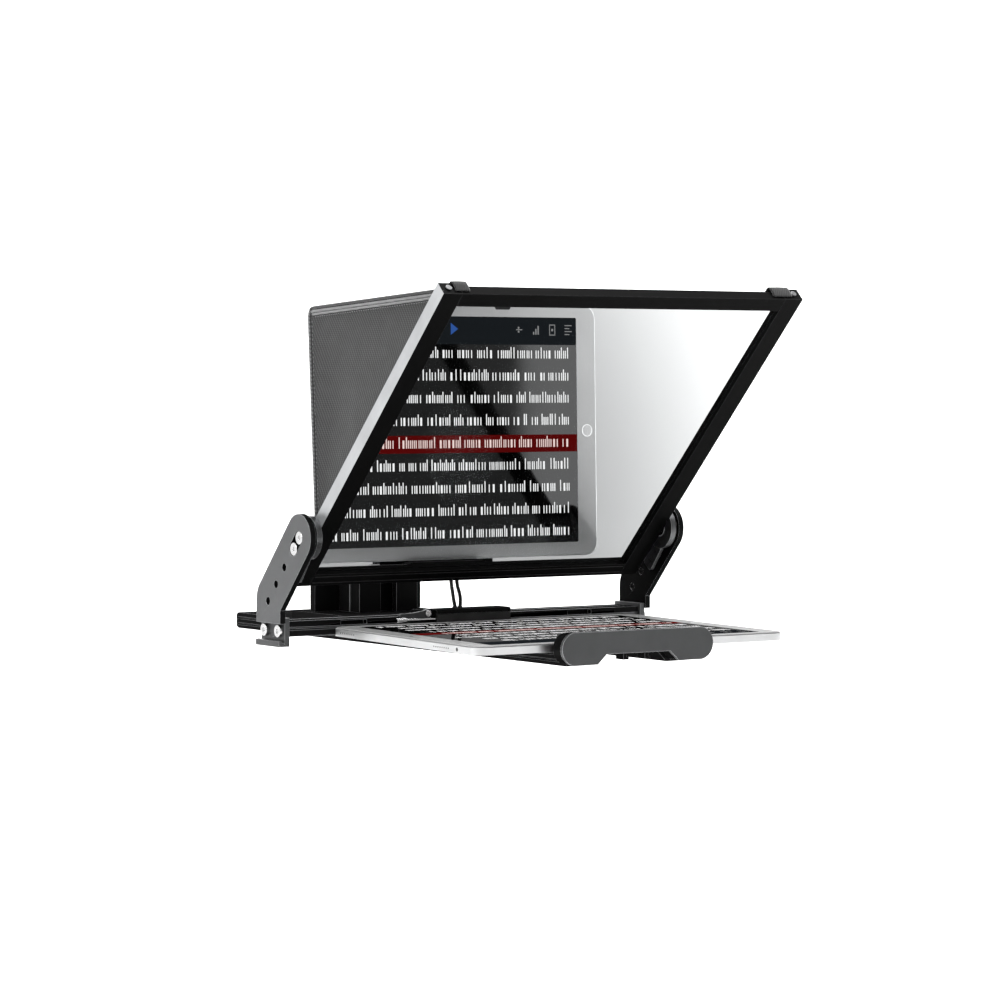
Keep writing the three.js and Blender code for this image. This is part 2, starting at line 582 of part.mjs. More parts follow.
// ---------------------------------------------------------------- glass frame
// Frame coordinates: x across, y from the front face to the rear, z up the slope. Its origin is
// the hinge axis, AXIS_ALONG up the slope from the lower edge and AXIS_DEPTH behind the front face.
function buildFrame(rig) {
  const frame = new THREE.Group();
  frame.position.set(0, AXIS_Y, AXIS_Z);
  frame.rotation.x = Math.PI / 2 - GLASS_SLOPE;
  rig.add(frame);

  const half = FRAME_WIDTH / 2;
  const low = -AXIS_ALONG;
  const high = FRAME_LENGTH - AXIS_ALONG;
  const front = -AXIS_DEPTH;
  const rear = FRAME_THICK - AXIS_DEPTH;
  const seat = front + GLASS_RECESS;

  for (const [side, sign] of SIDES) {
    const inner = half - SIDE_BAR;
    const section = outline([
      [sign * inner, front],
      [sign * half, front],
      [sign * half, rear],
      [sign * (inner + REBATE), rear],
      [sign * (inner + REBATE), seat],
      [sign * inner, seat],
    ]);
    const pinBore = rodX(...across(sign, 161.9, half + 1), 0, 0, 3.9, 16);
    addPart(frame, `frame_bar_${side}`, cut(alongZ(section, low, high), pinBore), blackAnodised());
  }

  // The top bar's rear edge is chamfered. Both end bars lie between the side bars.
  const reach = half - SIDE_BAR - GAP;
  const topSection = outline([
    [front, high - END_BAR],
    [front, high],
    [rear - 3.4, high],
    [rear, high - 3.4],
    [rear, high - END_BAR + REBATE],
    [seat, high - END_BAR + REBATE],
    [seat, high - END_BAR],
  ]);
  addPart(frame, 'frame_bar_top', alongX(topSection, -reach, reach), blackAnodised());
  const bottomSection = outline([
    [front, low],
    [rear, low],
    [rear, low + END_BAR - REBATE],
    [seat, low + END_BAR - REBATE],
    [seat, low + END_BAR],
    [front, low + END_BAR],
  ]);
  addPart(frame, 'frame_bar_bottom', alongX(bottomSection, -reach, reach), blackAnodised());

  const glassHalf = half - SIDE_BAR + REBATE - 0.5;
  const glassLow = low + END_BAR - REBATE + 0.5;
  const glassHigh = high - END_BAR + REBATE - 0.5;
  addPart(frame, 'beam_splitter_glass',
    box(-glassHalf, glassHalf, seat + GAP, seat + GAP + GLASS_THICK, glassLow, glassHigh),
    finish(0xdfe8ea, 0.05, 0.1));

  // Retainer strips behind the glass, short of the pins at the sides.
  const strip = seat + GLASS_THICK + 2 * GAP;
  addPart(frame, 'glass_retainer_top',
    box(-glassHalf + 4, glassHalf - 4, strip, strip + 2.4, glassHigh - 9, glassHigh), blackAnodised());
  addPart(frame, 'glass_retainer_bottom',
    box(-glassHalf + 4, glassHalf - 4, strip, strip + 2.4, glassLow, glassLow + 9), blackAnodised());

  for (const [side, sign] of SIDES) {
    addPart(frame, `frame_screw_${side}`,
      rodZ(high + GAP, high + 1.4, sign * (half - 7), rear - 6, 2.6, 16), steel());
  }
}

// ---------------------------------------------------------------- hood
function framePoint(along, depth) {
  const y = AXIS_Y - (along - AXIS_ALONG) * Math.cos(GLASS_SLOPE) + (depth - AXIS_DEPTH) * Math.sin(GLASS_SLOPE);
  const z = AXIS_Z + (along - AXIS_ALONG) * Math.sin(GLASS_SLOPE) + (depth - AXIS_DEPTH) * Math.cos(GLASS_SLOPE);
  return [y, z];
}

// A strip between two points of a (Y, Z) profile, thickened towards the hood's inside.
function panelStrip(from, to, thickness, trim) {
  const run = new THREE.Vector2(to[0] - from[0], to[1] - from[1]).normalize();
  const inward = new THREE.Vector2(run.y, -run.x);
  const start = [from[0] + run.x * trim, from[1] + run.y * trim];
  const end = [to[0] - run.x * trim, to[1] - run.y * trim];
  return outline([
    start,
    end,
    [end[0] + inward.x * thickness, end[1] + inward.y * thickness],
    [start[0] + inward.x * thickness, start[1] + inward.y * thickness],
  ]);
}

function buildHood(rig) {
  const top = framePoint(FRAME_LENGTH - 7, FRAME_THICK + 0.5);
  const low = framePoint(AXIS_ALONG - 1, FRAME_THICK + 0.5);
  const profile = [top, HOOD_REAR_TOP, HOOD_REAR_LOW, low];
  for (const [side, sign] of SIDES) {
    const [h0, h1] = across(sign, HOOD_HALF - HOOD_WALL, HOOD_HALF);
    addPart(rig, `hood_side_${side}`, alongX(outline(profile), h0, h1), fabric());
  }
  const reach = HOOD_HALF - HOOD_WALL - GAP;
  addPart(rig, 'hood_top', alongX(panelStrip(top, HOOD_REAR_TOP, HOOD_WALL, 2.4), -reach, reach), fabric());

  const rearPanel = alongX(panelStrip(HOOD_REAR_TOP, HOOD_REAR_LOW, HOOD_WALL, 0.4), -reach, reach);
  const lensHole = rodY(195, 235, 0, LENS_Z, SLEEVE_WIDE, 32);
  addPart(rig, 'hood_rear', cut(rearPanel, lensHole), fabric());

  // Sleeve round the lens: a cone that narrows to the drawstring hem.
  const wall = 1.8;
  const sleeve = new THREE.LatheGeometry([
    new THREE.Vector2(SLEEVE_WIDE - wall - 3, 212),
    new THREE.Vector2(SLEEVE_WIDE - 3, 212),
    new THREE.Vector2(SLEEVE_NARROW, SLEEVE_END - 5),
    new THREE.Vector2(SLEEVE_NARROW + 1, SLEEVE_END),
    new THREE.Vector2(SLEEVE_NARROW - wall, SLEEVE_END),
    new THREE.Vector2(SLEEVE_NARROW - wall - 1, SLEEVE_END - 5),
    new THREE.Vector2(SLEEVE_WIDE - wall - 3, 212),
  ], 32).translate(0, 0, LENS_Z);
  addPart(rig, 'hood_sleeve', sleeve, fabric());

  buildDrawstring(rig);
}

const SLEEVE_WIDE = 60;
const SLEEVE_NARROW = 44;
const CORD_RADIUS = 1.6;
const KNOT_RADIUS = 2.5;

// The drawstring's two ends leave the hem through a cord lock, hang down and end in a knot each.
function buildDrawstring(rig) {
  const lockTop = LENS_Z - SLEEVE_NARROW - 3.5;
  const lockBottom = lockTop - 14;
  const cordY = SLEEVE_END - 1;
  addPart(rig, 'cord_lock',
    alongZ(roundedRect(-4.5, 10.5, cordY - 4, cordY + 4, 3), lockBottom, lockTop, 4),
    finish(0x101010, 0.6, 0.0));
  // Each strand's line, as sideways position and height, from the lock down to its knot.
  const start = lockBottom - GAP;
  const strands = {
    left: [
      [0, start],
      [-0.6, 70],
      [-1.4, 60],
      [-1.9, 50],
      [-1.8, 41],
      [-1.3, 34],
      [-0.2, 27],
      [1, 20],
      [2.2, 14.5],
      [2.7, 12.5],
    ],
    right: [
      [5.5, start],
      [5.3, 70],
      [4.9, 60],
      [4.4, 50],
      [4.1, 42],
      [4.4, 36],
      [5.2, 30.5],
      [6.6, 26],
      [7.8, 21.5],
      [8.1, 17],
      [7.8, 12.5],
    ],
  };
  for (const [side, line] of Object.entries(strands)) {
    const path = new THREE.CatmullRomCurve3(
      line.map(([sideways, height]) => new THREE.Vector3(sideways, cordY, height)));
    const cord = new THREE.ExtrudeGeometry(circle(0, 0, CORD_RADIUS), {
      steps: 24, bevelEnabled: false, extrudePath: path, curveSegments: 4,
    });
    const knot = new THREE.SphereGeometry(KNOT_RADIUS, 12, 8).translate(line.at(-1)[0], cordY, 12);
    addPart(rig, `drawstring_${side}`, join(cord, knot), finish(0x0c0c0c, 0.9, 0.0));
  }
}

// ---------------------------------------------------------------- tablet
function buildTablet(rig) {
  const tablet = new THREE.Group();
  tablet.position.set(TABLET_OFFSET, 0, 0);
  tablet.rotation.x = TABLET_PITCH;
  rig.add(tablet);
  const half = TABLET_WIDTH / 2;
  addPart(tablet, 'tablet_body',
    alongZ(roundedRect(-half, half, 0, TABLET_DEPTH, 12), -TABLET_THICK, -1, 6), bareAluminium());
  addPart(tablet, 'tablet_screen',
    alongZ(roundedRect(-half + 1, half - 1, 1, TABLET_DEPTH - 1, 11), -1 + GAP, 0, 6),
    finish(0x08090a, 0.08, 0.0));
}

// ---------------------------------------------------------------- assembly
const group = new THREE.Group();
const rig = new THREE.Group();
rig.position.set(0, -SEAT_Y, -RAIL_BOTTOM);
group.add(rig);

buildBase(rig);
buildCrossbar(rig);
buildHolder(rig);
buildJaw(rig);
buildCarriage(rig);
buildArms(rig);
buildFrame(rig);
buildHood(rig);
buildTablet(rig);

export default group;
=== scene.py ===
"""Looks for the teleprompter: cloth hood, half-mirror glass, tablet screen and anodised metal.

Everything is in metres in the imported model's frame: +X to the presenter's right, +Y from the
presenter to the camera, +Z up, with the tripod seat at the origin.
"""
import math
import random

import bmesh
import bpy
from mathutils import Matrix, Vector


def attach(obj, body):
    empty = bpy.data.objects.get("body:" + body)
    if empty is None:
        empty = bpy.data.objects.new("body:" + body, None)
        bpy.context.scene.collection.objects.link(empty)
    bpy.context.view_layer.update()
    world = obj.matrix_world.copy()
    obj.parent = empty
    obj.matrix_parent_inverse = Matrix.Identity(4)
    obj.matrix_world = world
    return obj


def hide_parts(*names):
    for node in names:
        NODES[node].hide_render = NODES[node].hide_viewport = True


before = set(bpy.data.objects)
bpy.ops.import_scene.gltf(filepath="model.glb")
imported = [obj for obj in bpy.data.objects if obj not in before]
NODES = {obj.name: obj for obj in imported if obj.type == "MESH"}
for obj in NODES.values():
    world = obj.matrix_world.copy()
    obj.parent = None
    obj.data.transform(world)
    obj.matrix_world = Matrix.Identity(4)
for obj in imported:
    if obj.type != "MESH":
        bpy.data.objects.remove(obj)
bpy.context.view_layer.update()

MM = 0.001
SEAT = Vector((0, 335, -19)) * MM  # from the layout's zero, the tablet's front edge, to the origin


def lay(x, y, z):
    """A point given in millimetres from the tablet's front top edge, in the model's frame."""
    return Vector((x, y, z)) * MM - SEAT


# ---------- camera
CAMERA_PLACE = Vector((-1.62076, -2.59445, 0.22317))
CAMERA_YAW = math.radians(33.576)
CAMERA_PITCH = math.radians(1.912)
CAMERA_LENS = 125.775


def make_camera():
    data = bpy.data.cameras.new("camera")
    data.lens = CAMERA_LENS
    data.sensor_width = 36
    data.clip_start = 0.05
    data.clip_end = 60
    camera = bpy.data.objects.new("camera", data)
    bpy.context.scene.collection.objects.link(camera)
    camera.location = CAMERA_PLACE
    camera.rotation_euler = (math.pi / 2 - CAMERA_PITCH, 0, -CAMERA_YAW)
    bpy.context.scene.camera = camera


make_camera()


# ---------- node helpers
class Nodes:
    """Short calls for building one material's node tree."""

    def __init__(self, name):
        self.material = bpy.data.materials.new(name)
        self.material.use_nodes = True
        self.tree = self.material.node_tree
        self.tree.nodes.clear()
        self.output = self.tree.nodes.new("ShaderNodeOutputMaterial")

    def add(self, kind, sockets=None, **settings):
        """A new node with the given settings, and its sockets linked or set."""
        node = self.tree.nodes.new("ShaderNode" + kind)
        for key, value in settings.items():
            setattr(node, key, value)
        for key, value in (sockets or {}).items():
            self.put(node.inputs[key], value)
        return node

    def put(self, socket, value):
        """Links a socket to an output, or sets its fixed number, vector or colour."""
        if isinstance(value, tuple):
            socket.default_value = (*value, 1) if socket.type == "RGBA" else value
        elif isinstance(value, (int, float)):
            socket.default_value = value
        elif value is not None:
            self.tree.links.new(value, socket)

    def coords(self, scale=(1, 1, 1)):
        place = self.add("TexCoord").outputs["Object"]
        return self.add("Mapping", {"Vector": place, "Scale": scale}).outputs["Vector"]

    def noise(self, vector, scale, detail=3.0, rough=0.5):
        return self.add("TexNoise", {"Vector": vector, "Scale": scale, "Detail": detail,
                                     "Roughness": rough}).outputs["Fac"]

    def wave(self, vector, scale, distortion, direction="X"):
        sockets = {"Vector": vector, "Scale": scale, "Distortion": distortion}
        return self.add("TexWave", sockets, wave_type="BANDS", bands_direction=direction,
                        wave_profile="SIN").outputs["Fac"]

    def math(self, operation, a, b, clamp=False):
        return self.add("Math", {0: a, 1: b}, operation=operation, use_clamp=clamp).outputs[0]

    def spread(self, value, low, high):
        """Maps 0..1 to low..high."""
        sockets = {"Value": value, "To Min": low, "To Max": high}
        return self.add("MapRange", sockets).outputs["Result"]

    def ramp(self, value, stops):
        node = self.add("ValToRGB")
        elements = node.color_ramp.elements
        while len(elements) < len(stops):
            elements.new(0.5)
        for element, (place, colour) in zip(elements, stops):
            element.position = place
            element.color = (*colour, 1)
        self.put(node.inputs["Fac"], value)
        return node.outputs["Color"]

    def mix(self, factor, a, b):
        return self.add("Mix", {0: factor, 6: a, 7: b}, data_type="RGBA").outputs[2]

    def bump(self, height, strength, distance):
        return self.add("Bump", {"Height": height, "Strength": strength,
                                 "Distance": distance}).outputs["Normal"]

    def edges(self, radius):
        """1 near a sharp edge and 0 elsewhere."""
        rounded = self.add("Bevel", {"Radius": radius}, samples=4).outputs["Normal"]
        flat = self.add("NewGeometry").outputs["Normal"]
        product = self.add("VectorMath", {0: rounded, 1: flat}, operation="DOT_PRODUCT")
        bend = self.math("SUBTRACT", 1.0, product.outputs["Value"])
        return self.math("MULTIPLY", bend, 6.0, clamp=True)

    def principled(self, colour, rough, normal=None, **others):
        sockets = {"Base Color": colour, "Roughness": rough, "Normal": normal}
        sockets.update((key.replace("_", " "), value) for key, value in others.items())
        return self.add("BsdfPrincipled", sockets).outputs["BSDF"]

    def finish_blend(self, share, under, over):
        """Ends the material with two shaders, of which the second has the given share."""
        blend = self.add("MixShader", {"Fac": share, 1: under, 2: over})
        return self.finish(blend.outputs["Shader"])

    def finish(self, shader):
        self.put(self.output.inputs["Surface"], shader)
        return self.material


def grey(value, tint=0.0):
    """A grey a little to the blue for a positive tint."""
    return (value * (1 - tint), value, value * (1 + tint))


# ---------- materials
# How far from a sharp edge the lighter band reaches: rubbed wear, and partly a painted edge
# highlight.
EDGE_WEAR_AND_HIGHLIGHT_RADIUS = 0.7 * MM


def grain_mottle_edge(n, grain_scale, mottle_scale):
    """Fine grain, faint mottling, and an edge mask for rubbed edges and painted edge highlights, as
    three node outputs.
    """
    where = n.coords()
    patchy = n.spread(n.noise(where, 160), 0.25, 1.0)
    return (n.noise(where, grain_scale, 2.0), n.noise(where, mottle_scale, 4.0, 0.6),
            n.math("MULTIPLY", n.edges(EDGE_WEAR_AND_HIGHLIGHT_RADIUS), patchy))


def anodised(name, value, rough, edge_wear_and_highlight, metallic=0.75, tint=0.02, shine=0.5):
    """Bead-blasted, dyed aluminium: fine grain, faint mottling, and edges lighter for wear and as a
    painted highlight.
    """
    n = Nodes(name)
    grain, mottle, edge = grain_mottle_edge(n, 2600, 38)
    base = n.mix(mottle, grey(value * 0.82, tint), grey(value * 1.2, tint))
    both = n.math("ADD", n.math("MULTIPLY", grain, 0.5), n.math("MULTIPLY", mottle, 0.5))
    # Near edges a lighter grey is mixed in: partly wear, partly a painted highlight.
    return n.finish(n.principled(n.mix(edge, base, grey(edge_wear_and_highlight, tint)),
                                 n.spread(both, rough - 0.08, rough + 0.1),
                                 n.bump(grain, 0.18, 0.00006),
                                 Metallic=metallic, Specular_IOR_Level=shine))


def matte_black(name, value, rough, edge_wear_and_highlight, gloss):
    """Hard black anodising: soft black, edges lighter for wear and as a painted highlight, and the
    same small gloss at every angle.
    """
    n = Nodes(name)
    grain, mottle, edge = grain_mottle_edge(n, 2400, 34)
    base = n.mix(mottle, grey(value * 0.75, 0.02), grey(value * 1.3, 0.02))
    normal = n.bump(grain, 0.18, 0.00006)
    # Near edges a lighter grey is mixed in: partly wear, partly a painted highlight.
    under = n.principled(n.mix(edge, base, grey(edge_wear_and_highlight, 0.02)), n.spread(mottle, 0.55, 0.75), normal,
                         Metallic=0.0, Specular_IOR_Level=0.0)
    sheen = n.principled(grey(0.9), n.spread(grain, rough - 0.08, rough + 0.08), normal,
                         Metallic=1.0)
    return n.finish_blend(gloss, under, sheen)


def machined(name, value, rough):
    """Bare brushed metal, with tool marks along X."""
    n = Nodes(name)
    marks = n.noise(n.coords((1, 60, 60)), 90, 3.0)
    blotch = n.noise(n.coords(), 45, 3.0)
    colour = n.mix(marks, grey(value * 0.8), grey(min(value * 1.12, 0.95)))
    roughness = n.spread(n.math("MULTIPLY", marks, blotch), rough - 0.04, rough + 0.22)
    return n.finish(n.principled(colour, roughness, n.bump(marks, 0.15, 0.00005), Metallic=1.0))


def rubber(name, value=0.012):
    n = Nodes(name)
    where = n.coords()
    speck = n.noise(where, 1800, 3.0)
    dust = n.noise(where, 60, 4.0, 0.65)
    colour = n.mix(dust, grey(value), grey(value * 2.4))
    return n.finish(n.principled(colour, n.spread(speck, 0.62, 0.9), n.bump(speck, 0.4, 0.0001),
                                 Metallic=0.0, Specular_IOR_Level=0.35))


def plastic(name, value=0.012, rough=0.45):
    n = Nodes(name)
    where = n.coords()
    texture = n.noise(where, 1500, 4.0, 0.6)
    cloud = n.noise(where, 50, 3.0)
    return n.finish(n.principled(n.mix(cloud, grey(value * 0.8), grey(value * 1.5)),
                                 n.spread(texture, rough - 0.1, rough + 0.12),
                                 n.bump(texture, 0.25, 0.00008), Metallic=0.0))


TWILL = 1.5 * MM  # width of one diagonal rib of the hood's cloth


def twill(name, low, high, size=TWILL):
    """Heavy twill: slanted ribs broken up by the crossing yarns, on the cloth's own UV layer."""
    n = Nodes(name)
    place = n.add("UVMap", uv_map="cloth").outputs["UV"]
    turned = n.add("Mapping", {"Vector": place, "Rotation": (0, 0, math.radians(32))})
    waviness = n.noise(place, 90, 2.0)
    warp = n.wave(turned.outputs["Vector"], 1 / (20 * size) * math.pi, 1.2)
    weft = n.wave(place, 1 / (20 * size) * math.pi * 1.9, 0.8, "Y")
    yarn = n.math("ADD", n.math("MULTIPLY", warp, 0.62), n.math("MULTIPLY", weft, 0.38))
    fluff = n.noise(place, 1400, 3.0, 0.7)
    height = n.math("ADD", n.math("MULTIPLY", yarn, 0.75), n.math("MULTIPLY", fluff, 0.25))
    fade = n.noise(place, 9, 4.0, 0.55)
    tone = n.math("ADD", n.math("MULTIPLY", height, 0.8), n.math("MULTIPLY", fade, 0.2))
    tone = n.math("ADD", tone, n.math("MULTIPLY", n.math("SUBTRACT", waviness, 0.5), 0.2))
    colour = n.ramp(tone, [(0.25, grey(low, 0.01)), (0.55, grey((low + high) / 2, 0.01)),
                           (0.8, grey(high, 0.01))])
    return n.finish(n.principled(colour, n.spread(fluff, 0.83, 0.95),
                                 n.bump(height, 0.55, 0.0004), Metallic=0.0,
                                 Sheen_Weight=0.25, Sheen_Roughness=0.5, Specular_IOR_Level=0.2))


def braid(name, value=0.01, pitch=1.6 * MM):
    """A braided cord: ribs that follow each other down its length, and a fine speckle."""
    n = Nodes(name)
    place = n.coords()
    ribs = n.wave(place, 1 / (20 * pitch) * math.pi, 0.4, "Z")
    speck = n.noise(place, 1600, 2.0)
    height = n.math("ADD", n.math("MULTIPLY", ribs, 0.7), n.math("MULTIPLY", speck, 0.3))
    return n.finish(n.principled(n.mix(height, grey(value * 0.6), grey(value * 2.6)),
                                 n.spread(speck, 0.7, 0.95), n.bump(height, 0.6, 0.0003),
                                 Metallic=0.0))


def half_mirror(name, reflect=0.8):
    """Thin coated glass: part mirror, part clear, in the same shares at every angle."""
    n = Nodes(name)
    smear = n.noise(n.coords(), 14, 4.0, 0.6)
    mirror = n.principled((0.93, 0.945, 0.95), n.spread(smear, 0.0, 0.012), Metallic=1.0)
    clear = n.add("BsdfTransparent", {"Color": (0.24, 0.25, 0.25)})
    return n.finish_blend(reflect, clear.outputs["BSDF"], mirror)


def glowing(name, colour, strength):
    """A lit patch of the tablet's display, finely mottled and equally bright from every side."""
    n = Nodes(name)
    tone = n.mix(n.noise(n.coords(), 900, 1.0), tuple(c * 0.88 for c in colour), colour)
    return n.finish(n.principled(tuple(c * 0.05 for c in colour), 0.5, Specular_IOR_Level=0.0,
                                 Emission_Color=tone, Emission_Strength=strength))


def screen_glass(name, value, rough):
    """Flat cover glass that mirrors the same small share at every angle, as a coated one does."""
    n = Nodes(name)
    smear = n.noise(n.coords(), 22, 5.0, 0.6)
    under = n.principled(n.mix(smear, grey(value), grey(value * 1.25)), n.spread(smear, 0.5, 0.8),
                         Metallic=0.0, Specular_IOR_Level=0.0)
    sheen = n.principled((1.0, 1.0, 1.0), n.spread(smear, rough - 0.03, rough + 0.06), Metallic=1.0)
    return n.finish_blend(0.045, under, sheen)


BLACK = matte_black("black_anodised", 0.003, 0.36, 0.07, gloss=0.006)
BLACK_SOFT = matte_black("black_anodised_soft", 0.006, 0.45, 0.08, gloss=0.02)
BLACK_TURNED = anodised("black_turned", 0.1, 0.28, 0.55, metallic=0.85, shine=0.35)
# Lighter metals for bevel faces, which paint highlights along the edges.
BRIGHT_RIM_HIGHLIGHT = anodised("bright_rim_highlight", 0.5, 0.3, 0.7, metallic=1.0)
RING_HIGHLIGHT = anodised("bright_ring_highlight", 0.6, 0.3, 0.7, metallic=0.4)
SOFT_RIM_HIGHLIGHT = anodised("soft_rim_highlight", 0.16, 0.36, 0.3, metallic=0.9)
DARK_GREY = anodised("dark_grey_anodised", 0.075, 0.4, 0.3, metallic=0.75, shine=0.25)
GREY = anodised("grey_anodised", 0.115, 0.42, 0.55, metallic=0.85, shine=0.4)
FRAME_SIDE = anodised("frame_side", 0.5, 0.36, 0.65, metallic=0.9)
TABLET_METAL = anodised("tablet_metal", 0.66, 0.3, 0.85, metallic=1.0, tint=0.005)
STEEL = machined("plated_steel", 0.78, 0.16)
RUBBER = rubber("pad_rubber")
CORD_LOCK = plastic("cord_lock_plastic")
CLOTH = twill("hood_twill", 0.0035, 0.042)
CLOTH_INSIDE = twill("hood_lining", 0.002, 0.006)
BINDING = twill("hood_binding", 0.07, 0.27, size=0.8 * MM)
BINDING_DARK = twill("hood_binding_dark", 0.01, 0.05, size=0.8 * MM)
WEBBING = twill("hood_webbing", 0.003, 0.016, size=0.8 * MM)
THREAD = twill("hood_thread", 0.09, 0.24, size=0.5 * MM)
CORD = braid("drawstring_braid")
GLASS = half_mirror("half_mirror_glass")
BEZEL = screen_glass("tablet_bezel_glass", 0.29, 0.1)
DISPLAY = screen_glass("tablet_display_glass", 0.001, 0.04)


# ---------- mesh helpers
def add_object(name, data, body, material=None):
    piece = bpy.data.objects.new(name, data)
    bpy.context.scene.collection.objects.link(piece)
    if material is not None:
        data.materials.append(material)
    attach(piece, body)
    return piece


def mesh_from(name, points, faces, smooth=True):
    mesh = bpy.data.meshes.new(name)
    mesh.from_pydata([tuple(p) for p in points], [], faces)
    mesh.validate()
    for polygon in mesh.polygons:
        polygon.use_smooth = smooth
    return mesh


def grid_faces(rows, columns):
    """The faces between neighbouring points of a grid that is stored row by row."""
    stride = columns + 1
    return [(a, a + 1, a + stride + 1, a + stride)
            for row in range(rows) for a in range(row * stride, row * stride + columns)]


def recalc(mesh):
    work = bmesh.new()
    work.from_mesh(mesh)
    bmesh.ops.recalc_face_normals(work, faces=work.faces)
    work.to_mesh(mesh)
    work.free()


def catmull(points, steps):
    """A smooth line through the points."""
    points = [Vector(p) for p in points]
    line = []
    for i in range(len(points) - 1):
        p0 = points[i - 1] if i else points[0] * 2 - points[1]
        p1, p2 = points[i], points[i + 1]
        p3 = points[i + 2] if i + 2 < len(points) else points[-1] * 2 - points[-2]
        for k in range(steps):
            t = k / steps
            line.append(0.5 * ((2 * p1) + (p2 - p0) * t + (2 * p0 - 5 * p1 + 4 * p2 - p3) * t * t
                               + (3 * p1 - p0 - 3 * p2 + p3) * t ** 3))
    line.append(points[-1])
    return line


def line_length(line):
    return sum((b - a).length for a, b in zip(line, line[1:]))


def curve_piece(name, line, radius, body, material, cyclic=False, resolution=4):
    data = bpy.data.curves.new(name, "CURVE")
    data.dimensions = "3D"
    data.bevel_depth = radius
    data.bevel_resolution = resolution
    data.use_fill_caps = True
    spline = data.splines.new("POLY")
    spline.points.add(len(line) - 1)
    for point, place in zip(spline.points, line):
        point.co = (*place, 1)
    spline.use_cyclic_u = cyclic
    spline.use_smooth = True
    return add_object(name, data, body, material)


# ---------- drawstring
CORD_RADIUS = 1.6 * MM
CORD_Y = 256
CORD_TOP = 78.2


def make_knot(name, centre):
    """An overhand knot: a small trefoil of the same cord."""
    line = []
    for i in range(48):
        t = 2 * math.pi * i / 48
        line.append(centre + Vector((
            (math.sin(t) + 2 * math.sin(2 * t)) * 0.42,
            (math.cos(t) - 2 * math.cos(2 * t)) * 0.42,
            -math.sin(3 * t) * 0.7)) * MM)
    return curve_piece(name, line, 1.05 * MM, "glass_frame", CORD, cyclic=True)


STRANDS = {
    "left": [(0, CORD_TOP), (-0.6, 70), (-1.4, 60), (-1.9, 50), (-1.8, 41), (-1.3, 34), (-0.2, 27),
             (1, 20), (2.2, 14.5), (2.7, 12.5)],
    "right": [(5.5, CORD_TOP), (5.3, 70), (4.9, 60), (4.4, 50), (4.1, 42), (4.4, 36), (5.2, 30.5),
              (6.6, 26), (7.8, 21.5), (8.1, 17), (7.8, 12.5)],
}


def make_drawstring():
    for side, route in STRANDS.items():
        x = route[0][0]
        line = catmull([lay(px, CORD_Y, pz) for px, pz in route], 4)
        strand = curve_piece(f"drawstring_strand_{side}", line, CORD_RADIUS, "glass_frame", CORD,
                             resolution=6)
        knot = make_knot(f"drawstring_knot_{side}", lay(route[-1][0], CORD_Y, 12))
        above_lock = [lay(x * share, CORD_Y - back, z)
                      for share, back, z in ((0.8, 1.6, 96.2), (0.9, 0.8, 94.4), (1, 0, 92.3))]
        feed = curve_piece(f"drawstring_feed_{side}", above_lock, CORD_RADIUS, "glass_frame", CORD)
        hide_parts(f"drawstring_{side}")


make_drawstring()


# ---------- metal parts from the CAD
def by_name(*rows):
    """A table from names to values, out of rows of one value and its names."""
    return {name: value for value, names in rows for name in names.split()}


FINISHES = by_name(
    (BLACK, "base_rail crossbar holder_body rear_jaw carriage_plate riser_column lift_bracket"
            " quick_release_clamp frame_bar_top frame_bar_bottom"),
    (BLACK_SOFT, "rail_end_cap glass_retainer_top glass_retainer_bottom"),
    (BLACK_TURNED, "frame_screw_left frame_screw_right"),
    (FRAME_SIDE, "frame_bar_left frame_bar_right"),
    (DARK_GREY, "holder_plate jaw_lock_lever quick_release_plate"),
    (STEEL, "tripod_shoe camera_screw"), (RUBBER, "tablet_rest_pad holder_pad rear_jaw_pad"),
    (GLASS, "beam_splitter_glass"), (TABLET_METAL, "tablet_body"), (BEZEL, "tablet_screen"),
    (CORD_LOCK, "cord_lock"))
BY_WORD = [("knob", BLACK_SOFT), ("screw", STEEL), ("guide", STEEL), ("tilt_lock", BLACK_TURNED),
           ("hinge_boss", BLACK), ("bracket", DARK_GREY), ("arm_", GREY)]
BEVELS = by_name(  # width and segments
    ((1.9 * MM, 5), "tablet_body"), ((0.25 * MM, 2), "tablet_screen"),
    ((0.1 * MM, 1), "beam_splitter_glass"), ((0.9 * MM, 2), "hinge_boss_left hinge_boss_right"),
    ((0.6 * MM, 2), "tilt_lock_left tilt_lock_right"), ((0.55 * MM, 2), "holder_plate"))
USUAL_BEVEL = (0.35 * MM, 2)
# Parts whose bevel faces get a lighter metal, as painted edge highlights.
RIM_HIGHLIGHTS = by_name(
    (BRIGHT_RIM_HIGHLIGHT, "arm_left arm_right holder_plate"),
    (RING_HIGHLIGHT, "hinge_boss_left hinge_boss_right tilt_lock_left tilt_lock_right"),
    (SOFT_RIM_HIGHLIGHT, "riser_column crossbar base_rail end_bracket_left end_bracket_right holder_body"
               " rear_jaw carriage_plate lift_bracket quick_release_clamp"))


def finish_of(name):
    if name in FINISHES:
        return FINISHES[name]
    return next(material for word, material in BY_WORD if word in name)


def soften(piece, width, segments):
    """Adds a small bevel to the piece's sharp edges."""
    bevel = piece.modifiers.new("soft_edges", "BEVEL")
    bevel.width = width
    bevel.segments = segments
    bevel.limit_method = "ANGLE"
    bevel.angle_limit = math.radians(38)
    bevel.harden_normals = True
    return bevel


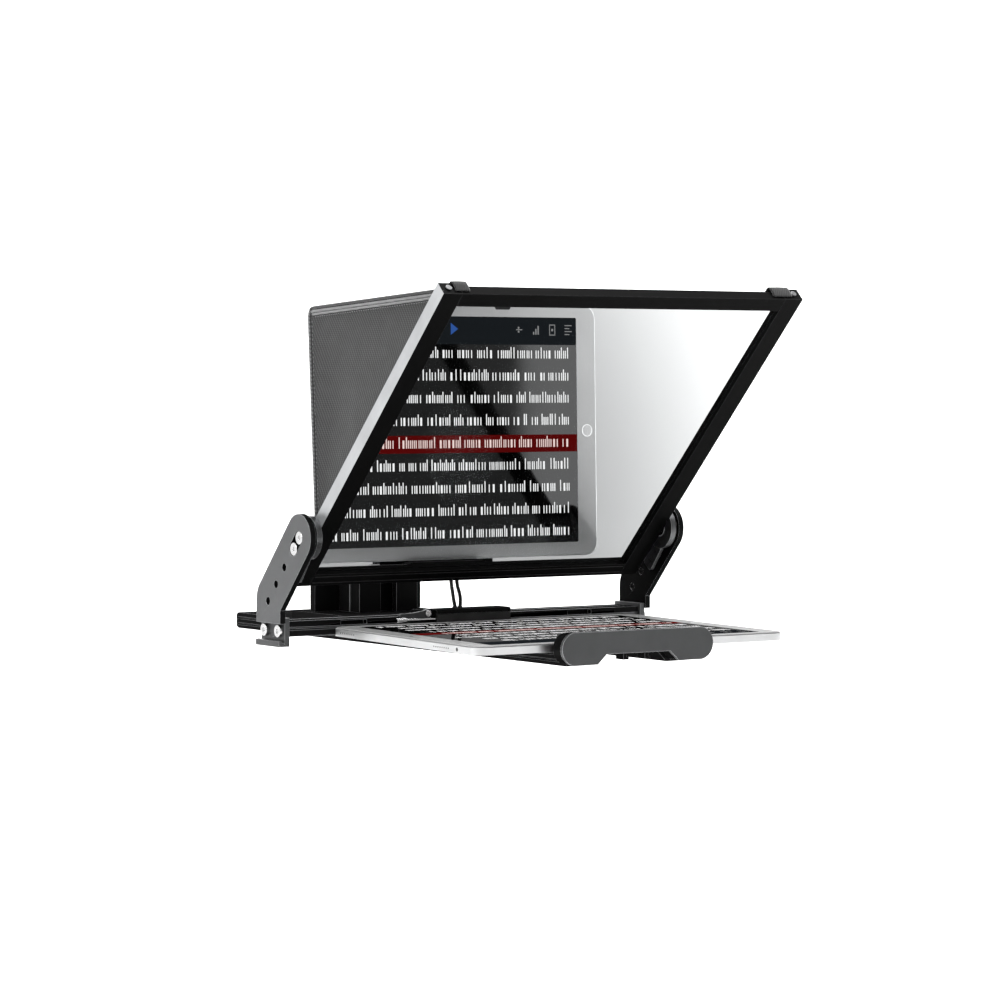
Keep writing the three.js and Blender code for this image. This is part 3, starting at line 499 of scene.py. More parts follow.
def dress_cad_node(name):
    """Gives a CAD node its finish, and softens its sharp edges with small bevels."""
    piece = NODES[name]
    piece.data.materials.clear()
    piece.data.materials.append(finish_of(name))
    custom = piece.data.attributes.get("custom_normal")
    if custom is not None:
        piece.data.attributes.remove(custom)
    for polygon in piece.data.polygons:
        polygon.use_smooth = True
    weld = piece.modifiers.new("weld", "WELD")
    weld.merge_threshold = 1e-6
    bevel = soften(piece, *BEVELS.get(name, USUAL_BEVEL))
    # The bevel faces take the painted edge highlight.
    if name in RIM_HIGHLIGHTS:
        piece.data.materials.append(RIM_HIGHLIGHTS[name])
        bevel.material = 1


REPLACED = {"hood_side_left", "hood_side_right", "hood_top", "hood_rear", "hood_sleeve",
            "drawstring_left", "drawstring_right"}
for node_name in NODES:
    if node_name not in REPLACED:
        dress_cad_node(node_name)

# The bars and arms are lighter on their outer side only. An arm's slot 1 holds its painted rim
# highlight.
for side, outward in (("left", -1), ("right", 1)):
    for part, dark_slot in (("frame_bar", 1), ("arm", 2)):
        piece = NODES[f"{part}_{side}"]
        piece.data.materials.append(BLACK)
        for polygon in piece.data.polygons:
            if polygon.normal.x * outward < 0.9:
                polygon.material_index = dark_slot


# ---------- frame details
FRAME_SLOPE = math.radians(45.24)
FRAME_LENGTH = 332.6
FRAME_DEEP = 12.0
AXIS_Y, AXIS_Z = 196, 78.6  # the tilt axis, which lies in the side bars
AXIS_ALONG, AXIS_DEPTH = 54, 5


def frame_point(x, along, depth):
    """A point on the leaning frame: up its slope from the lower end, and in from its front face."""
    a, d = along - AXIS_ALONG, depth - AXIS_DEPTH
    return lay(x, AXIS_Y - a * math.cos(FRAME_SLOPE) + d * math.sin(FRAME_SLOPE),
               AXIS_Z + a * math.sin(FRAME_SLOPE) + d * math.cos(FRAME_SLOPE))


def block_on_frame(name, across, along, depth, soft):
    """A box on the leaning frame, between two values of each of the frame's three directions."""
    corners = [frame_point(x, a, d) for x in across for a in along for d in depth]
    faces = [(0, 1, 3, 2), (4, 6, 7, 5), (0, 4, 5, 1), (2, 3, 7, 6), (0, 2, 6, 4), (1, 5, 7, 3)]
    mesh = mesh_from(name, corners, faces)
    recalc(mesh)
    soften(add_object(name, mesh, "glass_frame", BLACK_SOFT), soft, 3)


def make_frame_details():
    """The latch tab inside the top bar, and the retainer's two fine steps on the lower bar."""
    inner_top = FRAME_LENGTH - 13.5
    block_on_frame("glass_latch_tab", (-119, -106), (inner_top - 3.6, inner_top + 0.6), (0.8, 3.6),
                   0.5 * MM)
    for index, along in enumerate((3.2, 10.2)):
        block_on_frame(f"frame_rib_{index}", (-156, 156), (along, along + 1.0), (-0.35, 0.4),
                       0.25 * MM)


make_frame_details()


# ---------- hood
HOOD_HALF = 166
HOOD_TOP_FRONT = (10.7, 276.8)
HOOD_TOP_REAR = (217.0, 266.0)
HOOD_LOW_REAR = (205.5, 83.0)
HOOD_LOW_FRONT = (203.2, 83.0)
LENS_Z = 140
LENS_HEIGHT = LENS_Z * MM - SEAT.z  # the same, in the model's frame
SLEEVE_WIDE = 54.5
SLEEVE_NARROW = 44
CORNER_RADIUS = 9.0
PANEL_INSET = 1.2  # from the side panels to the ends of the cross panels
CLOTH_THICKNESS = 0.9 * MM


def cloth_uv(mesh, axes):
    """A UV layer in metres on the cloth, from two of the point's coordinates."""
    layer = mesh.uv_layers.new(name="cloth")
    for loop in mesh.loops:
        co = mesh.vertices[loop.vertex_index].co
        layer.data[loop.index].uv = (co[axes[0]], co[axes[1]])


def hood_object(name, mesh, material):
    return add_object(name, mesh, "glass_frame", material)


def cloth_piece(name, points, faces, axes, material):
    """A piece of the hood, its faces all turned to the same side, with its own UV layer."""
    mesh = mesh_from(name, points, faces)
    recalc(mesh)
    cloth_uv(mesh, axes)
    return hood_object(name, mesh, material)


def hood_edge_points():
    """The side panel's outline from the top's front end round the rear corner to the bottom."""
    front, corner, low = (Vector(p) for p in (HOOD_TOP_FRONT, HOOD_TOP_REAR, HOOD_LOW_REAR))
    into = (front - corner).normalized()
    down = (low - corner).normalized()
    start, end = corner + into * CORNER_RADIUS, corner + down * CORNER_RADIUS
    arc = []
    for i in range(7):
        t = i / 6
        arc.append(start.lerp(corner, t).lerp(corner.lerp(end, t), t))
    return [front, *arc, low]


def sag(u, v):
    """How far slack cloth falls inwards: 0 at its edges and 1 in its middle."""
    return math.sin(math.pi * u) * math.sin(math.pi * v)


def make_side(side, sign):
    """Side panel: fans out from the wedge's bottom, slack in the middle."""
    across, rows = 40, 36
    edge = hood_edge_points()
    path = resample(edge, line_length(edge) / across)
    front_top, front_low = Vector(HOOD_TOP_FRONT), Vector(HOOD_LOW_FRONT)
    points = []
    rng = random.Random(11)
    phase = rng.uniform(0, 6)
    for i, rear in enumerate(path):
        u = i / across
        front = front_top.lerp(front_low, u)
        for j in range(rows + 1):
            v = j / rows
            place = front.lerp(rear, v)
            ripple = 0.35 * math.sin(9 * u + 5 * v + phase) * sag(u, v)
            x = sign * (HOOD_HALF - 0.2 - 2.6 * sag(u, v) + ripple)
            points.append(lay(x, place.x, place.y))
    return cloth_piece(f"hood_cloth_{side}", points, grid_faces(across, rows), (1, 2), CLOTH)


def panel(name, corners, inward, depth, counts, axes, hole=None):
    """A four-cornered panel, slack in the middle. A hole is its centre and its radius."""
    a, b, c, d = (Vector(p) for p in corners)
    points = []
    nu, nv = counts
    for i in range(nu + 1):
        for j in range(nv + 1):
            u, v = i / nu, j / nv
            place = a.lerp(b, u).lerp(d.lerp(c, u), v)
            points.append(place + inward * depth * MM * sag(u, v))
    stride = nv + 1

    def in_hole(face):
        centre = sum((points[m] for m in face), Vector()) / 4
        return hole is not None and (Vector((centre.x, centre.z)) - hole[0]).length < hole[1]

    mesh = mesh_from(name, points, [face for face in grid_faces(nu, nv) if not in_hole(face)])
    work = bmesh.new()
    work.from_mesh(mesh)
    work.verts.ensure_lookup_table()
    outer = {work.verts[i * stride + j] for i in range(nu + 1) for j in range(stride)
             if i in (0, nu) or j in (0, nv)}
    bmesh.ops.delete(work, geom=[v for v in work.verts if not v.link_faces], context="VERTS")
    if hole is not None:
        rim = {v for e in work.edges if e.is_boundary for v in e.verts if v not in outer}
        for v in rim:
            away = (Vector((v.co.x, v.co.z)) - hole[0]).normalized() * hole[1]
            v.co.x, v.co.z = hole[0].x + away.x, hole[0].y + away.y
    work.to_mesh(mesh)
    work.free()
    recalc(mesh)
    cloth_uv(mesh, axes)
    return hood_object(name, mesh, CLOTH)


def thicken(piece):
    """Cloth of a real thickness, with the lining's colour on its inner face."""
    piece.data.materials.append(CLOTH_INSIDE)
    solid = piece.modifiers.new("cloth_thickness", "SOLIDIFY")
    solid.thickness = CLOTH_THICKNESS
    solid.offset = -1.0
    solid.material_offset = 1


def face_outwards(piece, outward):
    """Turns the panel's faces so that their normals point outwards."""
    mesh = piece.data
    total = sum((p.normal * p.area for p in mesh.polygons), Vector())
    if total.dot(outward) < 0:
        mesh.flip_normals()


def rear_panel_y(z):
    """Where the flat rear panel's outer face lies at a height."""
    top = hood_edge_points()[-2]
    return top.x + (HOOD_LOW_REAR[0] - top.x) * (top.y - z) / (top.y - HOOD_LOW_REAR[1])


def make_sleeve():
    """Lens sleeve: a gathered cone that the drawstring narrows, with a hem channel at its end."""
    # Each ring's share of the sleeve's length, its radius, and its place along Y. The first
    # two rings' places are counted from the slanted rear panel's face.
    rings = [(0.0, SLEEVE_WIDE + 1.0, 0.6), (0.12, SLEEVE_WIDE - 1.5, 4.5),
             (0.35, SLEEVE_WIDE - 4, 225), (0.6, SLEEVE_NARROW + 4.5, 236),
             (0.8, SLEEVE_NARROW + 1.0, 246), (0.88, SLEEVE_NARROW, 249.5),
             (0.93, SLEEVE_NARROW + 1.4, 252.5), (0.97, SLEEVE_NARROW + 1.3, 255.5),
             (1.0, SLEEVE_NARROW - 0.3, 256.8), (1.0, SLEEVE_NARROW - 1.8, 255.5)]
    count = 160
    points, faces = [], []
    rng = random.Random(5)
    phases = [rng.uniform(0, 2 * math.pi) for _ in range(3)]
    for share, radius, y in rings:
        for k in range(count):
            angle = 2 * math.pi * k / count
            pleat = sum(math.sin(folds * angle + phase) * deep for folds, phase, deep
                        in zip((26, 17, 9), phases, (0.55, 0.4, 0.5)))
            r = radius + pleat * share ** 1.3 * 1.15 * (1.0 if share < 0.9 else 0.6)
            z = LENS_Z + r * math.sin(angle)
            points.append(lay(r * math.cos(angle), rear_panel_y(z) + y if share < 0.2 else y, z))
    for i in range(len(rings) - 1):
        for k in range(count):
            a, b = i * count + k, i * count + (k + 1) % count
            faces.append((a, b, b + count, a + count))
    mesh = mesh_from("hood_cloth_sleeve", points, faces)
    recalc(mesh)
    layer = mesh.uv_layers.new(name="cloth")
    for polygon in mesh.polygons:
        turns = [math.atan2(mesh.vertices[v].co.z - LENS_HEIGHT, mesh.vertices[v].co.x)
                 for v in polygon.vertices]
        wrap = max(turns) - min(turns) > math.pi
        for loop_index, turn in zip(polygon.loop_indices, turns):
            turn += 2 * math.pi if wrap and turn < 0 else 0
            co = mesh.vertices[mesh.loops[loop_index].vertex_index].co
            layer.data[loop_index].uv = (turn * 0.05, co.y)
    return hood_object("hood_cloth_sleeve", mesh, CLOTH)


def binding(name, line, radius, material=BINDING):
    """A rolled edge binding along a seam."""
    piece = curve_piece(name, line, radius, "glass_frame", None, resolution=3)
    graph = bpy.context.evaluated_depsgraph_get()
    mesh = bpy.data.meshes.new_from_object(piece.evaluated_get(graph))
    bpy.data.objects.remove(piece)
    for polygon in mesh.polygons:
        polygon.use_smooth = True
    layer = mesh.uv_layers.new(name="cloth")
    for loop in mesh.loops:
        co = mesh.vertices[loop.vertex_index].co
        layer.data[loop.index].uv = (co.x * 0.7 + co.y, co.z + co.x * 0.7)
    mesh.materials.clear()
    return hood_object(name, mesh, material)


STITCH_PITCH = 3.6 * MM
STITCH_LENGTH = 2.3 * MM
STITCH_WIDTH = 0.6 * MM
# One stitch: eight points round its foot and three along its top, as shares of its size.
PILLOW = [(-0.5, 0, 0), (-0.36, 0.8, 0.1), (0, 1, 0.15), (0.36, 0.8, 0.1), (0.5, 0, 0),
          (0.36, -0.8, 0.1), (0, -1, 0.15), (-0.36, -0.8, 0.1), (-0.3, 0, 0.9), (0, 0, 1.0),
          (0.3, 0, 0.9)]
PILLOW_FACES = [(0, 1, 8), (1, 2, 9, 8), (2, 3, 10, 9), (3, 4, 10), (4, 5, 10), (5, 6, 9, 10),
                (6, 7, 8, 9), (7, 0, 8)]


def stitches(name, line, outward):
    """A row of thread stitches along a line: small pillows that stand half out of the cloth."""
    points, faces = [], []
    walked, want = 0.0, STITCH_PITCH
    for a, b in zip(line, line[1:]):
        step = (b - a).length
        if step < 1e-9:
            continue
        ahead = (b - a) / step
        out = Vector(outward(a)) if callable(outward) else Vector(outward)
        beside = ahead.cross(out).normalized()
        while walked + step >= want:
            centre = a + ahead * (want - walked)
            base = len(points)
            points += [centre + ahead * along * STITCH_LENGTH + beside * wide * STITCH_WIDTH / 2
                       + out * high * STITCH_WIDTH * 0.6 for along, wide, high in PILLOW]
            faces += [tuple(base + k for k in face) for face in PILLOW_FACES]
            want += STITCH_PITCH
        walked += step
    mesh = mesh_from(name, points, faces)
    cloth_uv(mesh, (1, 2))
    return hood_object(name, mesh, THREAD)


def make_hood():
    edge = hood_edge_points()
    for side, sign in (("left", -1), ("right", 1)):
        piece = make_side(side, sign)
        face_outwards(piece, Vector((sign, 0, 0)))
        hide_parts(f"hood_side_{side}")
        thicken(piece)
        side_trim(side, sign, edge)

    def corners(first, last):
        reach = HOOD_HALF - PANEL_INSET
        return [lay(-reach, *first), lay(reach, *first), lay(reach, *last), lay(-reach, *last)]

    top = panel("hood_cloth_top", corners(HOOD_TOP_FRONT, edge[1]), Vector((0, 0, -1)), 4.5,
                (48, 30), (0, 1))
    face_outwards(top, Vector((0, 0, 1)))
    rear = panel("hood_cloth_rear", corners(edge[-2], HOOD_LOW_REAR), Vector((0, -1, 0)), 1.0,
                 (84, 48), (0, 2), hole=(Vector((0, LENS_HEIGHT)), SLEEVE_WIDE * MM))
    face_outwards(rear, Vector((0, 1, 0)))
    corner = make_corner(edge)
    sleeve = make_sleeve()
    mesh = sleeve.data
    outward = sum((p.normal.dot(Vector((p.center.x, 0, p.center.z - LENS_HEIGHT)))
                   for p in mesh.polygons), 0)
    if outward < 0:
        mesh.flip_normals()
    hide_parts("hood_top")
    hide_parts("hood_rear")
    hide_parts("hood_sleeve")
    for piece, width, length, trim in (
            (top, 0.33, 0.2, top_trim()), (rear, 0.33, 0.19, rear_trim()),
            (sleeve, 0.37, 0.052, sleeve_trim()), (corner, 0.33, 0.016, [])):
        thicken(piece)


def resample(line, gap):
    """Points every gap along a line of 2-D or 3-D points."""
    total = line_length(line)
    count = max(2, round(total / gap))
    spots, walked, index = [], 0.0, 0
    for k in range(count + 1):
        want = total * k / count
        while index < len(line) - 2 and walked + (line[index + 1] - line[index]).length < want:
            walked += (line[index + 1] - line[index]).length
            index += 1
        step = (line[index + 1] - line[index]).length
        share = min(1.0, (want - walked) / step) if step else 0
        spots.append(line[index].lerp(line[index + 1], share))
    return spots


def inset(line, distance):
    """A line parallel to a side panel's outline, to its inner side."""
    moved = []
    for k, place in enumerate(line):
        ahead = (line[min(k + 1, len(line) - 1)] - line[max(k - 1, 0)]).normalized()
        moved.append(place + Vector((ahead.y, -ahead.x)) * distance)
    return moved


def side_trim(side, sign, edge):
    """Seams of one side panel: a doubled piping below the top edge and an overlocked rear edge."""
    outline = resample(edge, 1.5)
    turn = max(range(len(outline)), key=lambda k: outline[k].x + outline[k].y)
    x = sign * (HOOD_HALF - 0.4)

    def seam(first, last, distance):
        return [lay(x, p.x, p.y) for p in inset(outline, distance)[first:last]]

    low = len(outline) - 1
    ridge = binding(f"hood_piping_{side}_ridge", seam(2, turn, 0.3), 1.2 * MM, BINDING_DARK)
    upper = binding(f"hood_piping_{side}_upper", seam(2, turn - 1, 3.3), 1.15 * MM)
    lower = binding(f"hood_piping_{side}_lower", seam(2, turn - 2, 5.7), 1.0 * MM)
    rear_edge = binding(f"hood_overlock_{side}", seam(turn - 1, low, 0.9), 1.25 * MM)
    inner = binding(f"hood_overlock_{side}_inner", seam(turn - 1, low, 3.2), 0.7 * MM, BINDING_DARK)
    outward = (sign, 0, 0)
    rows = [stitches(f"hood_stitch_{side}_top", seam(5, turn - 4, 8.0), outward),
            stitches(f"hood_stitch_{side}_rear", seam(turn + 4, low - 2, 5.4), outward)]
    return [ridge, upper, lower, rear_edge, inner, *rows]


def top_trim():
    """The top panel's cross seam, and the two loops that button over the frame's top bar."""
    front = [lay(x, HOOD_TOP_FRONT[0] + 6, HOOD_TOP_FRONT[1] + 0.1) for x in range(-160, 161, 8)]
    return [stitches("hood_stitch_top_front", front, (0, 0, 1)),
            make_loop("hood_loop_left", -163, -150), make_loop("hood_loop_right", 146, 165)]


def make_loop(name, x0, x1):
    """A short doubled strap that runs from the hood over the frame's top end."""
    route = [frame_point(0, FRAME_LENGTH + along, FRAME_DEEP + depth) for along, depth in (
        (-26, 1.3), (-12, 1.5), (-0.6, 1.5), (1.3, -1.5), (1.2, -6), (0.8, -9.4))]
    line = catmull(route, 5)
    points = []
    across = 12
    for k, place in enumerate(line):
        for i in range(across + 1):
            x = x0 + (x1 - x0) * i / across
            crown = math.sin(math.pi * i / across) * 0.2 * MM
            after = line[min(k + 1, len(line) - 1)] - line[max(k - 1, 0)]
            out = Vector((0, -after.z, after.y)).normalized()
            if out.dot(Vector((0, 0.2, 1))) < 0:
                out.negate()
            points.append(Vector((x * MM, place.y, place.z)) + out * crown)
    piece = cloth_piece(name, points, grid_faces(len(line) - 1, across), (0, 1), WEBBING)
    solid = piece.modifiers.new("strap_thickness", "SOLIDIFY")
    solid.thickness = 0.7 * MM
    solid.offset = 0
    return piece


def lens_ring(radius, count, y_at):
    """A closed ring of points round the lens, at the depth that y_at gives for a height."""
    ring = []
    for k in range(count + 1):
        angle = 2 * math.pi * k / count
        z = LENS_Z + radius * math.sin(angle)
        ring.append(lay(radius * math.cos(angle), y_at(z), z))
    return ring


def rear_trim():
    """Stitch rows round the rear panel and a taped ring where the sleeve is sewn on."""
    top_z, low_z = hood_edge_points()[-2].y, HOOD_LOW_REAR[1]
    y_top, y_low = hood_edge_points()[-2].x, HOOD_LOW_REAR[0]

    def spot(x, share):
        return lay(x, y_top + (y_low - y_top) * share + 0.1, top_z + (low_z - top_z) * share)

    foot = [spot(-159 + 318 * k / 40, 0.95) for k in range(41)]
    hem = binding("hood_rear_hem", [spot(-164 + 328 * k / 20, 1.0) for k in range(21)], 1.1 * MM,
                  BINDING_DARK)
    ring = lens_ring(SLEEVE_WIDE + 1.2, 72, rear_panel_y)
    seam = binding("hood_sleeve_seam", ring, 1.5 * MM, BINDING_DARK)
    wider = [c + (c - Vector((0, c.y, LENS_HEIGHT))).normalized() * 4 * MM for c in ring]
    rows = [("left", [spot(-159, k / 20) for k in range(1, 20)]),
            ("right", [spot(159, k / 20) for k in range(1, 20)]), ("foot", foot), ("ring", wider)]
    return [hem, seam, *(stitches(f"hood_stitch_rear_{name}", line, (0, 1, 0))
                         for name, line in rows)]


def sleeve_trim():
    """The row of stitches that closes the hem's drawstring channel."""
    ring = lens_ring(SLEEVE_NARROW + 1.2, 96, lambda z: 248.6)

    def outward(place):
        return Vector((place.x, 0, place.z - LENS_HEIGHT)).normalized()

    return [stitches("hood_stitch_sleeve", ring, outward)]


def make_corner(edge):
    """The rounded turn between the top and the rear panel."""
    arc = edge[1:-1]
    points = []
    across = 48
    for place in arc:
        for i in range(across + 1):
            x = (HOOD_HALF - PANEL_INSET) * (2 * i / across - 1)
            points.append(lay(x, *place))
    faces = grid_faces(len(arc) - 1, across)
    piece = cloth_piece("hood_cloth_corner", points, faces, (0, 1), CLOTH)
    face_outwards(piece, Vector((0, 1, 1)))
    return piece


make_hood()


# ---------- tablet display
TABLET_PITCH = math.radians(0.74)
TABLET_HALF = 305.7 / 2
TABLET_SHIFT = 9.8  # how far the tablet's middle lies to the right of the rig's
TABLET_EDGE_MIDDLE = -3.9  # the middle of the edge, over the tablet's face
BUTTON_PLACE = (152.6, 110.3)
BUTTON_RADIUS = 5.0
FRONT_LENS_PLACE = (-133.0, 110.3)


def tablet_point(x, y, lift=0.0):
    """A point on the tablet's face, in millimetres from its front edge on the rig's mid-plane."""
    lean, rise = math.cos(TABLET_PITCH), math.sin(TABLET_PITCH)
    return lay(x, y * lean - lift * rise, y * rise + lift * lean)


def circle(centre, radius, count):
    return [(centre[0] + radius * math.cos(2 * math.pi * k / count),
             centre[1] + radius * math.sin(2 * math.pi * k / count)) for k in range(count)]


def rounded_outline(x0, x1, y0, y1, radius, steps=4):
    points = []
    for cx, cy, start in ((x1 - radius, y0 + radius, -90), (x1 - radius, y1 - radius, 0),
                          (x0 + radius, y1 - radius, 90), (x0 + radius, y0 + radius, 180)):
        for i in range(steps + 1):
            angle = math.radians(start + 90 * i / steps)
            points.append((cx + radius * math.cos(angle), cy + radius * math.sin(angle)))
    return points


def slab_mesh(name, outlines, low, high):
    """One mesh of flat slabs on the tablet's face, each from an outline, between two heights."""
    points, faces = [], []
    for shape in outlines:
        base = len(points)
        count = len(shape)
        points += [tablet_point(x, y, low) for x, y in shape]
        points += [tablet_point(x, y, high) for x, y in shape]
        faces.append(tuple(range(base + count - 1, base - 1, -1)))
        faces.append(tuple(range(base + count, base + 2 * count)))
        for i in range(count):
            j = (i + 1) % count
            faces.append((base + i, base + j, base + count + j, base + count + i))
    return mesh_from(name, points, faces, smooth=False)


def screen_piece(name, outlines, layer, material):
    """A thin flat piece on the tablet's face, between the layer's two heights."""
    add_object(name, slab_mesh(name, outlines, *layer), "tablet", material)


DISPLAY_LEFT = -122.5
DISPLAY_RIGHT = 142.0
DISPLAY_FRONT = 11.0
DISPLAY_REAR = 208.5
TEXT_RIGHT = 133.0
ROW_FIRST = 47.0
ROW_STEP = 19.4
ROWS = 9
CURRENT_ROW = 4
HEADER_END = 35.1
ICON_ROW = 22.0
BAND_FRONT, BAND_REAR = 113.6, 128.8
PANEL_LAYER, PATCH_LAYER, MARK_LAYER = (0.01, 0.05), (0.05, 0.07), (0.07, 0.09)
X_HEIGHT = 7.0
ASCENDER = 9.8


def text_row(rng, baseline, left, right):
    """Filler marks in word-long groups along one line, with gaps between the groups."""
    shapes = []
    x = right
    while x > left:
        for _ in range(rng.choice([2, 3, 4, 5, 6, 7, 8, 10])):
            width = rng.choice([1.1, 3.0, 3.3, 3.6, 3.8])
            if x - width < left:
                return shapes
            shapes += filler_mark(x - width, x, baseline, rng)
            x -= width + 0.95
        x -= 3.0
    return shapes


def filler_mark(x0, x1, foot, rng):
    """One abstract mark: one or two upright bars that never meet, like the bars of a barcode."""
    stroke = 0.95
    top = foot - X_HEIGHT

    def bar(a, b, c, d):
        return rounded_outline(a, b, c, d, 0.28, 1)

    tall = foot - rng.choice([X_HEIGHT, X_HEIGHT, ASCENDER])
    if x1 - x0 < 2:
        return [bar(x0, x1, tall, foot)]
    middle = (x0 + x1) / 2
    return rng.choice([[bar(x0, x0 + stroke, top, foot), bar(x1 - stroke, x1, tall, foot)],
                       [bar(x0, x0 + stroke, tall, foot), bar(x1 - stroke, x1, top, foot)],
                       [bar(middle - stroke / 2, middle + stroke / 2, tall, foot)],
                       [bar(middle - stroke, middle + stroke, top, foot)]])


def make_display():
    """The dark panel, with lit header and band on it, and lit marks above those."""
    left, right = DISPLAY_LEFT + 0.3, DISPLAY_RIGHT - 0.3
    panel_outline = rounded_outline(DISPLAY_LEFT, DISPLAY_RIGHT, DISPLAY_FRONT, DISPLAY_REAR, 1.5)
    screen_piece("display_panel", [panel_outline], PANEL_LAYER, DISPLAY)
    header = rounded_outline(left, right, DISPLAY_FRONT + 0.3, HEADER_END, 1.2)
    band = [(left, BAND_FRONT), (right, BAND_FRONT), (right, BAND_REAR), (left, BAND_REAR)]
    rng = random.Random(20)
    plain, lit = [], []
    for row in range(ROWS):
        baseline = ROW_FIRST + ROW_STEP * row
        start = DISPLAY_LEFT + 8 + rng.uniform(0, 26)
        (lit if row == CURRENT_ROW else plain).extend(text_row(rng, baseline, start, TEXT_RIGHT))
    play = [(10.5, 16.6), (18.0, 21.8), (10.5, 27.0)]
    for name, outlines, layer, colour, strength in (
            ("header", [header], PATCH_LAYER, (0.012, 0.0145, 0.017), 1.0),
            ("highlight", [band], PATCH_LAYER, (0.11, 0.003, 0.003), 1.0),
            ("rows", plain, MARK_LAYER, (0.86, 0.86, 0.86), 1.5),
            ("rows_current", lit, MARK_LAYER, (0.84, 0.66, 0.62), 1.4),
            ("play", [play], MARK_LAYER, (0.03, 0.09, 0.32), 1.3),
            ("icons", icon_shapes(), MARK_LAYER, (0.3, 0.3, 0.3), 1.0)):
        material = glowing(f"display_{name}", colour, strength)
        screen_piece(f"display_{name}", outlines, layer, material)


def icon_shapes():
    """Four small tool symbols: a slider, three rising bars, a framed square and a list."""
    bars = [(78.2, 84.8, -0.4, 0.4), (80.0, 81.8, -2.6, -0.8), (80.0, 81.8, 0.8, 2.6),
            *((96.0 + 2.4 * i, 97.4 + 2.4 * i, 1.6 - 2.6 * i, 4.2) for i in range(3)),
            (113.2, 119.6, -4.8, -4.0), (113.2, 119.6, 4.0, 4.8), (113.2, 114.0, -4.0, 4.0),
            (118.8, 119.6, -4.0, 4.0), (115.3, 117.5, -1.1, 1.1),
            *((129.6, 137.2 - (i % 2) * 2.4, -4.4 + 2.6 * i, -3.6 + 2.6 * i) for i in range(4))]
    return [rounded_outline(x0, x1, ICON_ROW + y0, ICON_ROW + y1, min(x1 - x0, y1 - y0) * 0.25, 1)
            for x0, x1, y0, y1 in bars]


def ring_mesh(name, centre, inner, outer, low, high, count=48):
    points, faces = [], []
    for radius, lift in ((outer, low), (outer, high), (inner, high), (inner, low)):
        points += [tablet_point(x, y, lift) for x, y in circle(centre, radius, count)]
    for ring in range(4):
        for k in range(count):
            here, after = ring * count, ((ring + 1) % 4) * count
            faces.append((here + k, here + (k + 1) % count, after + (k + 1) % count, after + k))
    mesh = mesh_from(name, points, faces, smooth=False)
    recalc(mesh)
    return mesh


def make_tablet_openings():
    """Dark discs on the tablet's left edge: painted shade where the speaker holes and the socket
    are.
    """
    wall = TABLET_SHIFT - TABLET_HALF - 0.02
    sides = 16
    points, faces = [], []
    holes = [(y, 0.62) for y in (*range(183, 205, 3), *range(40, 64, 3))] + [(27.5, 1.55)]
    for y, radius in holes:
        faces.append(tuple(range(len(points), len(points) + sides)))
        rim = circle((y, TABLET_EDGE_MIDDLE), radius, sides)
        points += [tablet_point(wall, along, lift) for along, lift in rim]
    mesh = mesh_from("tablet_openings", points, faces, smooth=False)
    if mesh.polygons[0].normal.x > 0:
        mesh.flip_normals()
    add_object("tablet_openings", mesh, "tablet", CORD_LOCK)


def make_tablet_trim():
    make_tablet_openings()
    screen_piece("tablet_button", [circle(BUTTON_PLACE, BUTTON_RADIUS, 40)], (0.005, 0.03),
                 screen_glass("button_glass", 0.38, 0.06))
    ring = ring_mesh("tablet_button_ring", BUTTON_PLACE, BUTTON_RADIUS, BUTTON_RADIUS + 0.35,
                     0.0, 0.04)
    add_object("tablet_button_ring", ring, "tablet", TABLET_METAL)
    screen_piece("tablet_front_lens", [circle(FRONT_LENS_PLACE, 1.6, 20)], (0.005, 0.05), DISPLAY)


make_display()
make_tablet_trim()


# ---------- floor and light
FLOOR_Z = -0.55


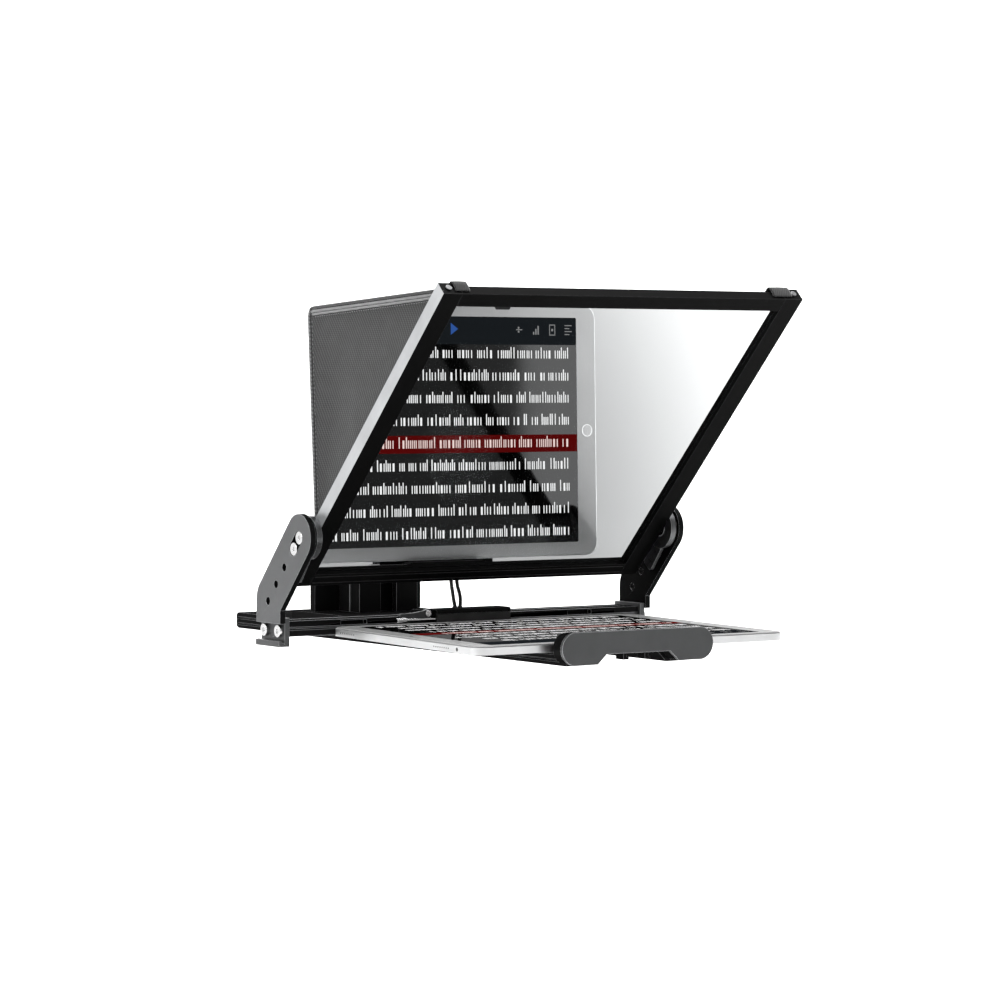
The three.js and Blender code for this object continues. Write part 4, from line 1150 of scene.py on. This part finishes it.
def make_stage():
    """A white sweep: flat floor that curves up into a wall behind the object, with a painted shadow
    on the floor round the origin.
    """
    half, near, far, radius, height = 40.0, -40.0, 3.2, 2.4, 8.0
    profile = [(near, 0.0), (far, 0.0)]
    for i in range(1, 13):
        angle = math.pi / 2 * i / 12
        profile.append((far + radius * math.sin(angle), radius * (1 - math.cos(angle))))
    profile.append((far + radius, height))
    turn = Matrix.Rotation(-CAMERA_YAW, 3, "Z")
    points = []
    for along, up in profile:
        for x in (-half, half):
            spot = turn @ Vector((x, along, 0))
            points.append((spot.x, spot.y, FLOOR_Z + up))
    mesh = mesh_from("floor", points, grid_faces(len(profile) - 1, 1))
    n = Nodes("floor_white")
    haze = n.noise(n.coords(), 1.5, 2.0)
    away = n.add("VectorMath", {0: n.coords((1, 1, 0))}, operation="LENGTH").outputs["Value"]
    # The glass mirrors the floor near the origin. A painted shadow darkens the floor there, in
    # colour and in glow, and fades out further away.
    away_from_painted_shadow = n.add("MapRange", {"Value": away, "From Min": 0.5, "From Max": 1.1},
                 interpolation_type="SMOOTHSTEP").outputs["Result"]
    colour = n.mix(away_from_painted_shadow, grey(0.25), n.mix(haze, grey(0.86), grey(0.9)))
    mesh.materials.append(n.finish(n.principled(
        colour, 0.9, Specular_IOR_Level=0.0, Emission_Color=grey(1.0),
        Emission_Strength=n.spread(away_from_painted_shadow, 0.03, 0.45))))
    floor = bpy.data.objects.new("floor", mesh)
    bpy.context.scene.collection.objects.link(floor)


def area_light(name, place, target, size, power):
    data = bpy.data.lights.new(name, "AREA")
    data.shape = "RECTANGLE"
    data.size, data.size_y = size
    data.energy = power
    light = bpy.data.objects.new(name, data)
    bpy.context.scene.collection.objects.link(light)
    light.location = place
    light.rotation_euler = (Vector(target) - Vector(place)).to_track_quat("-Z", "Y").to_euler()


def make_lights():
    world = bpy.data.worlds.new("studio")
    world.use_nodes = True
    tree = world.node_tree
    background = tree.nodes["Background"]
    ahead = tree.nodes.new("ShaderNodeVectorMath")
    ahead.operation = "DOT_PRODUCT"
    ahead.inputs[1].default_value = (math.sin(CAMERA_YAW), math.cos(CAMERA_YAW), 0)
    place = tree.nodes.new("ShaderNodeTexCoord")
    tree.links.new(place.outputs["Generated"], ahead.inputs[0])
    shade = tree.nodes.new("ShaderNodeValToRGB")
    shade.color_ramp.elements[0].position = 0.0
    shade.color_ramp.elements[0].color = (0.82, 0.82, 0.82, 1)
    shade.color_ramp.elements[1].position = 0.75
    shade.color_ramp.elements[1].color = (1, 1, 1, 1)
    tree.links.new(ahead.outputs["Value"], shade.inputs["Fac"])
    tree.links.new(shade.outputs["Color"], background.inputs["Color"])
    background.inputs["Strength"].default_value = 0.6
    bpy.context.scene.world = world
    area_light("key_left", (-2.6, -0.2, 1.3), (-0.1, 0, 0.1), (1.6, 1.6), 60)
    area_light("overhead", (0.2, 0.4, 2.6), (0, 0, 0.1), (3.0, 3.0), 150)
    area_light("gloss_right", (2.08, 0.0, 1.5), (2.08, 0.0, 0.0), (2.0, 2.2), 38)
    area_light("back_wall", (1.2, 2.0, 2.4), (2.2, 4.0, 0.8), (3.0, 2.0), 120)
    bpy.context.scene.view_settings.view_transform = "Standard"


make_stage()
make_lights()
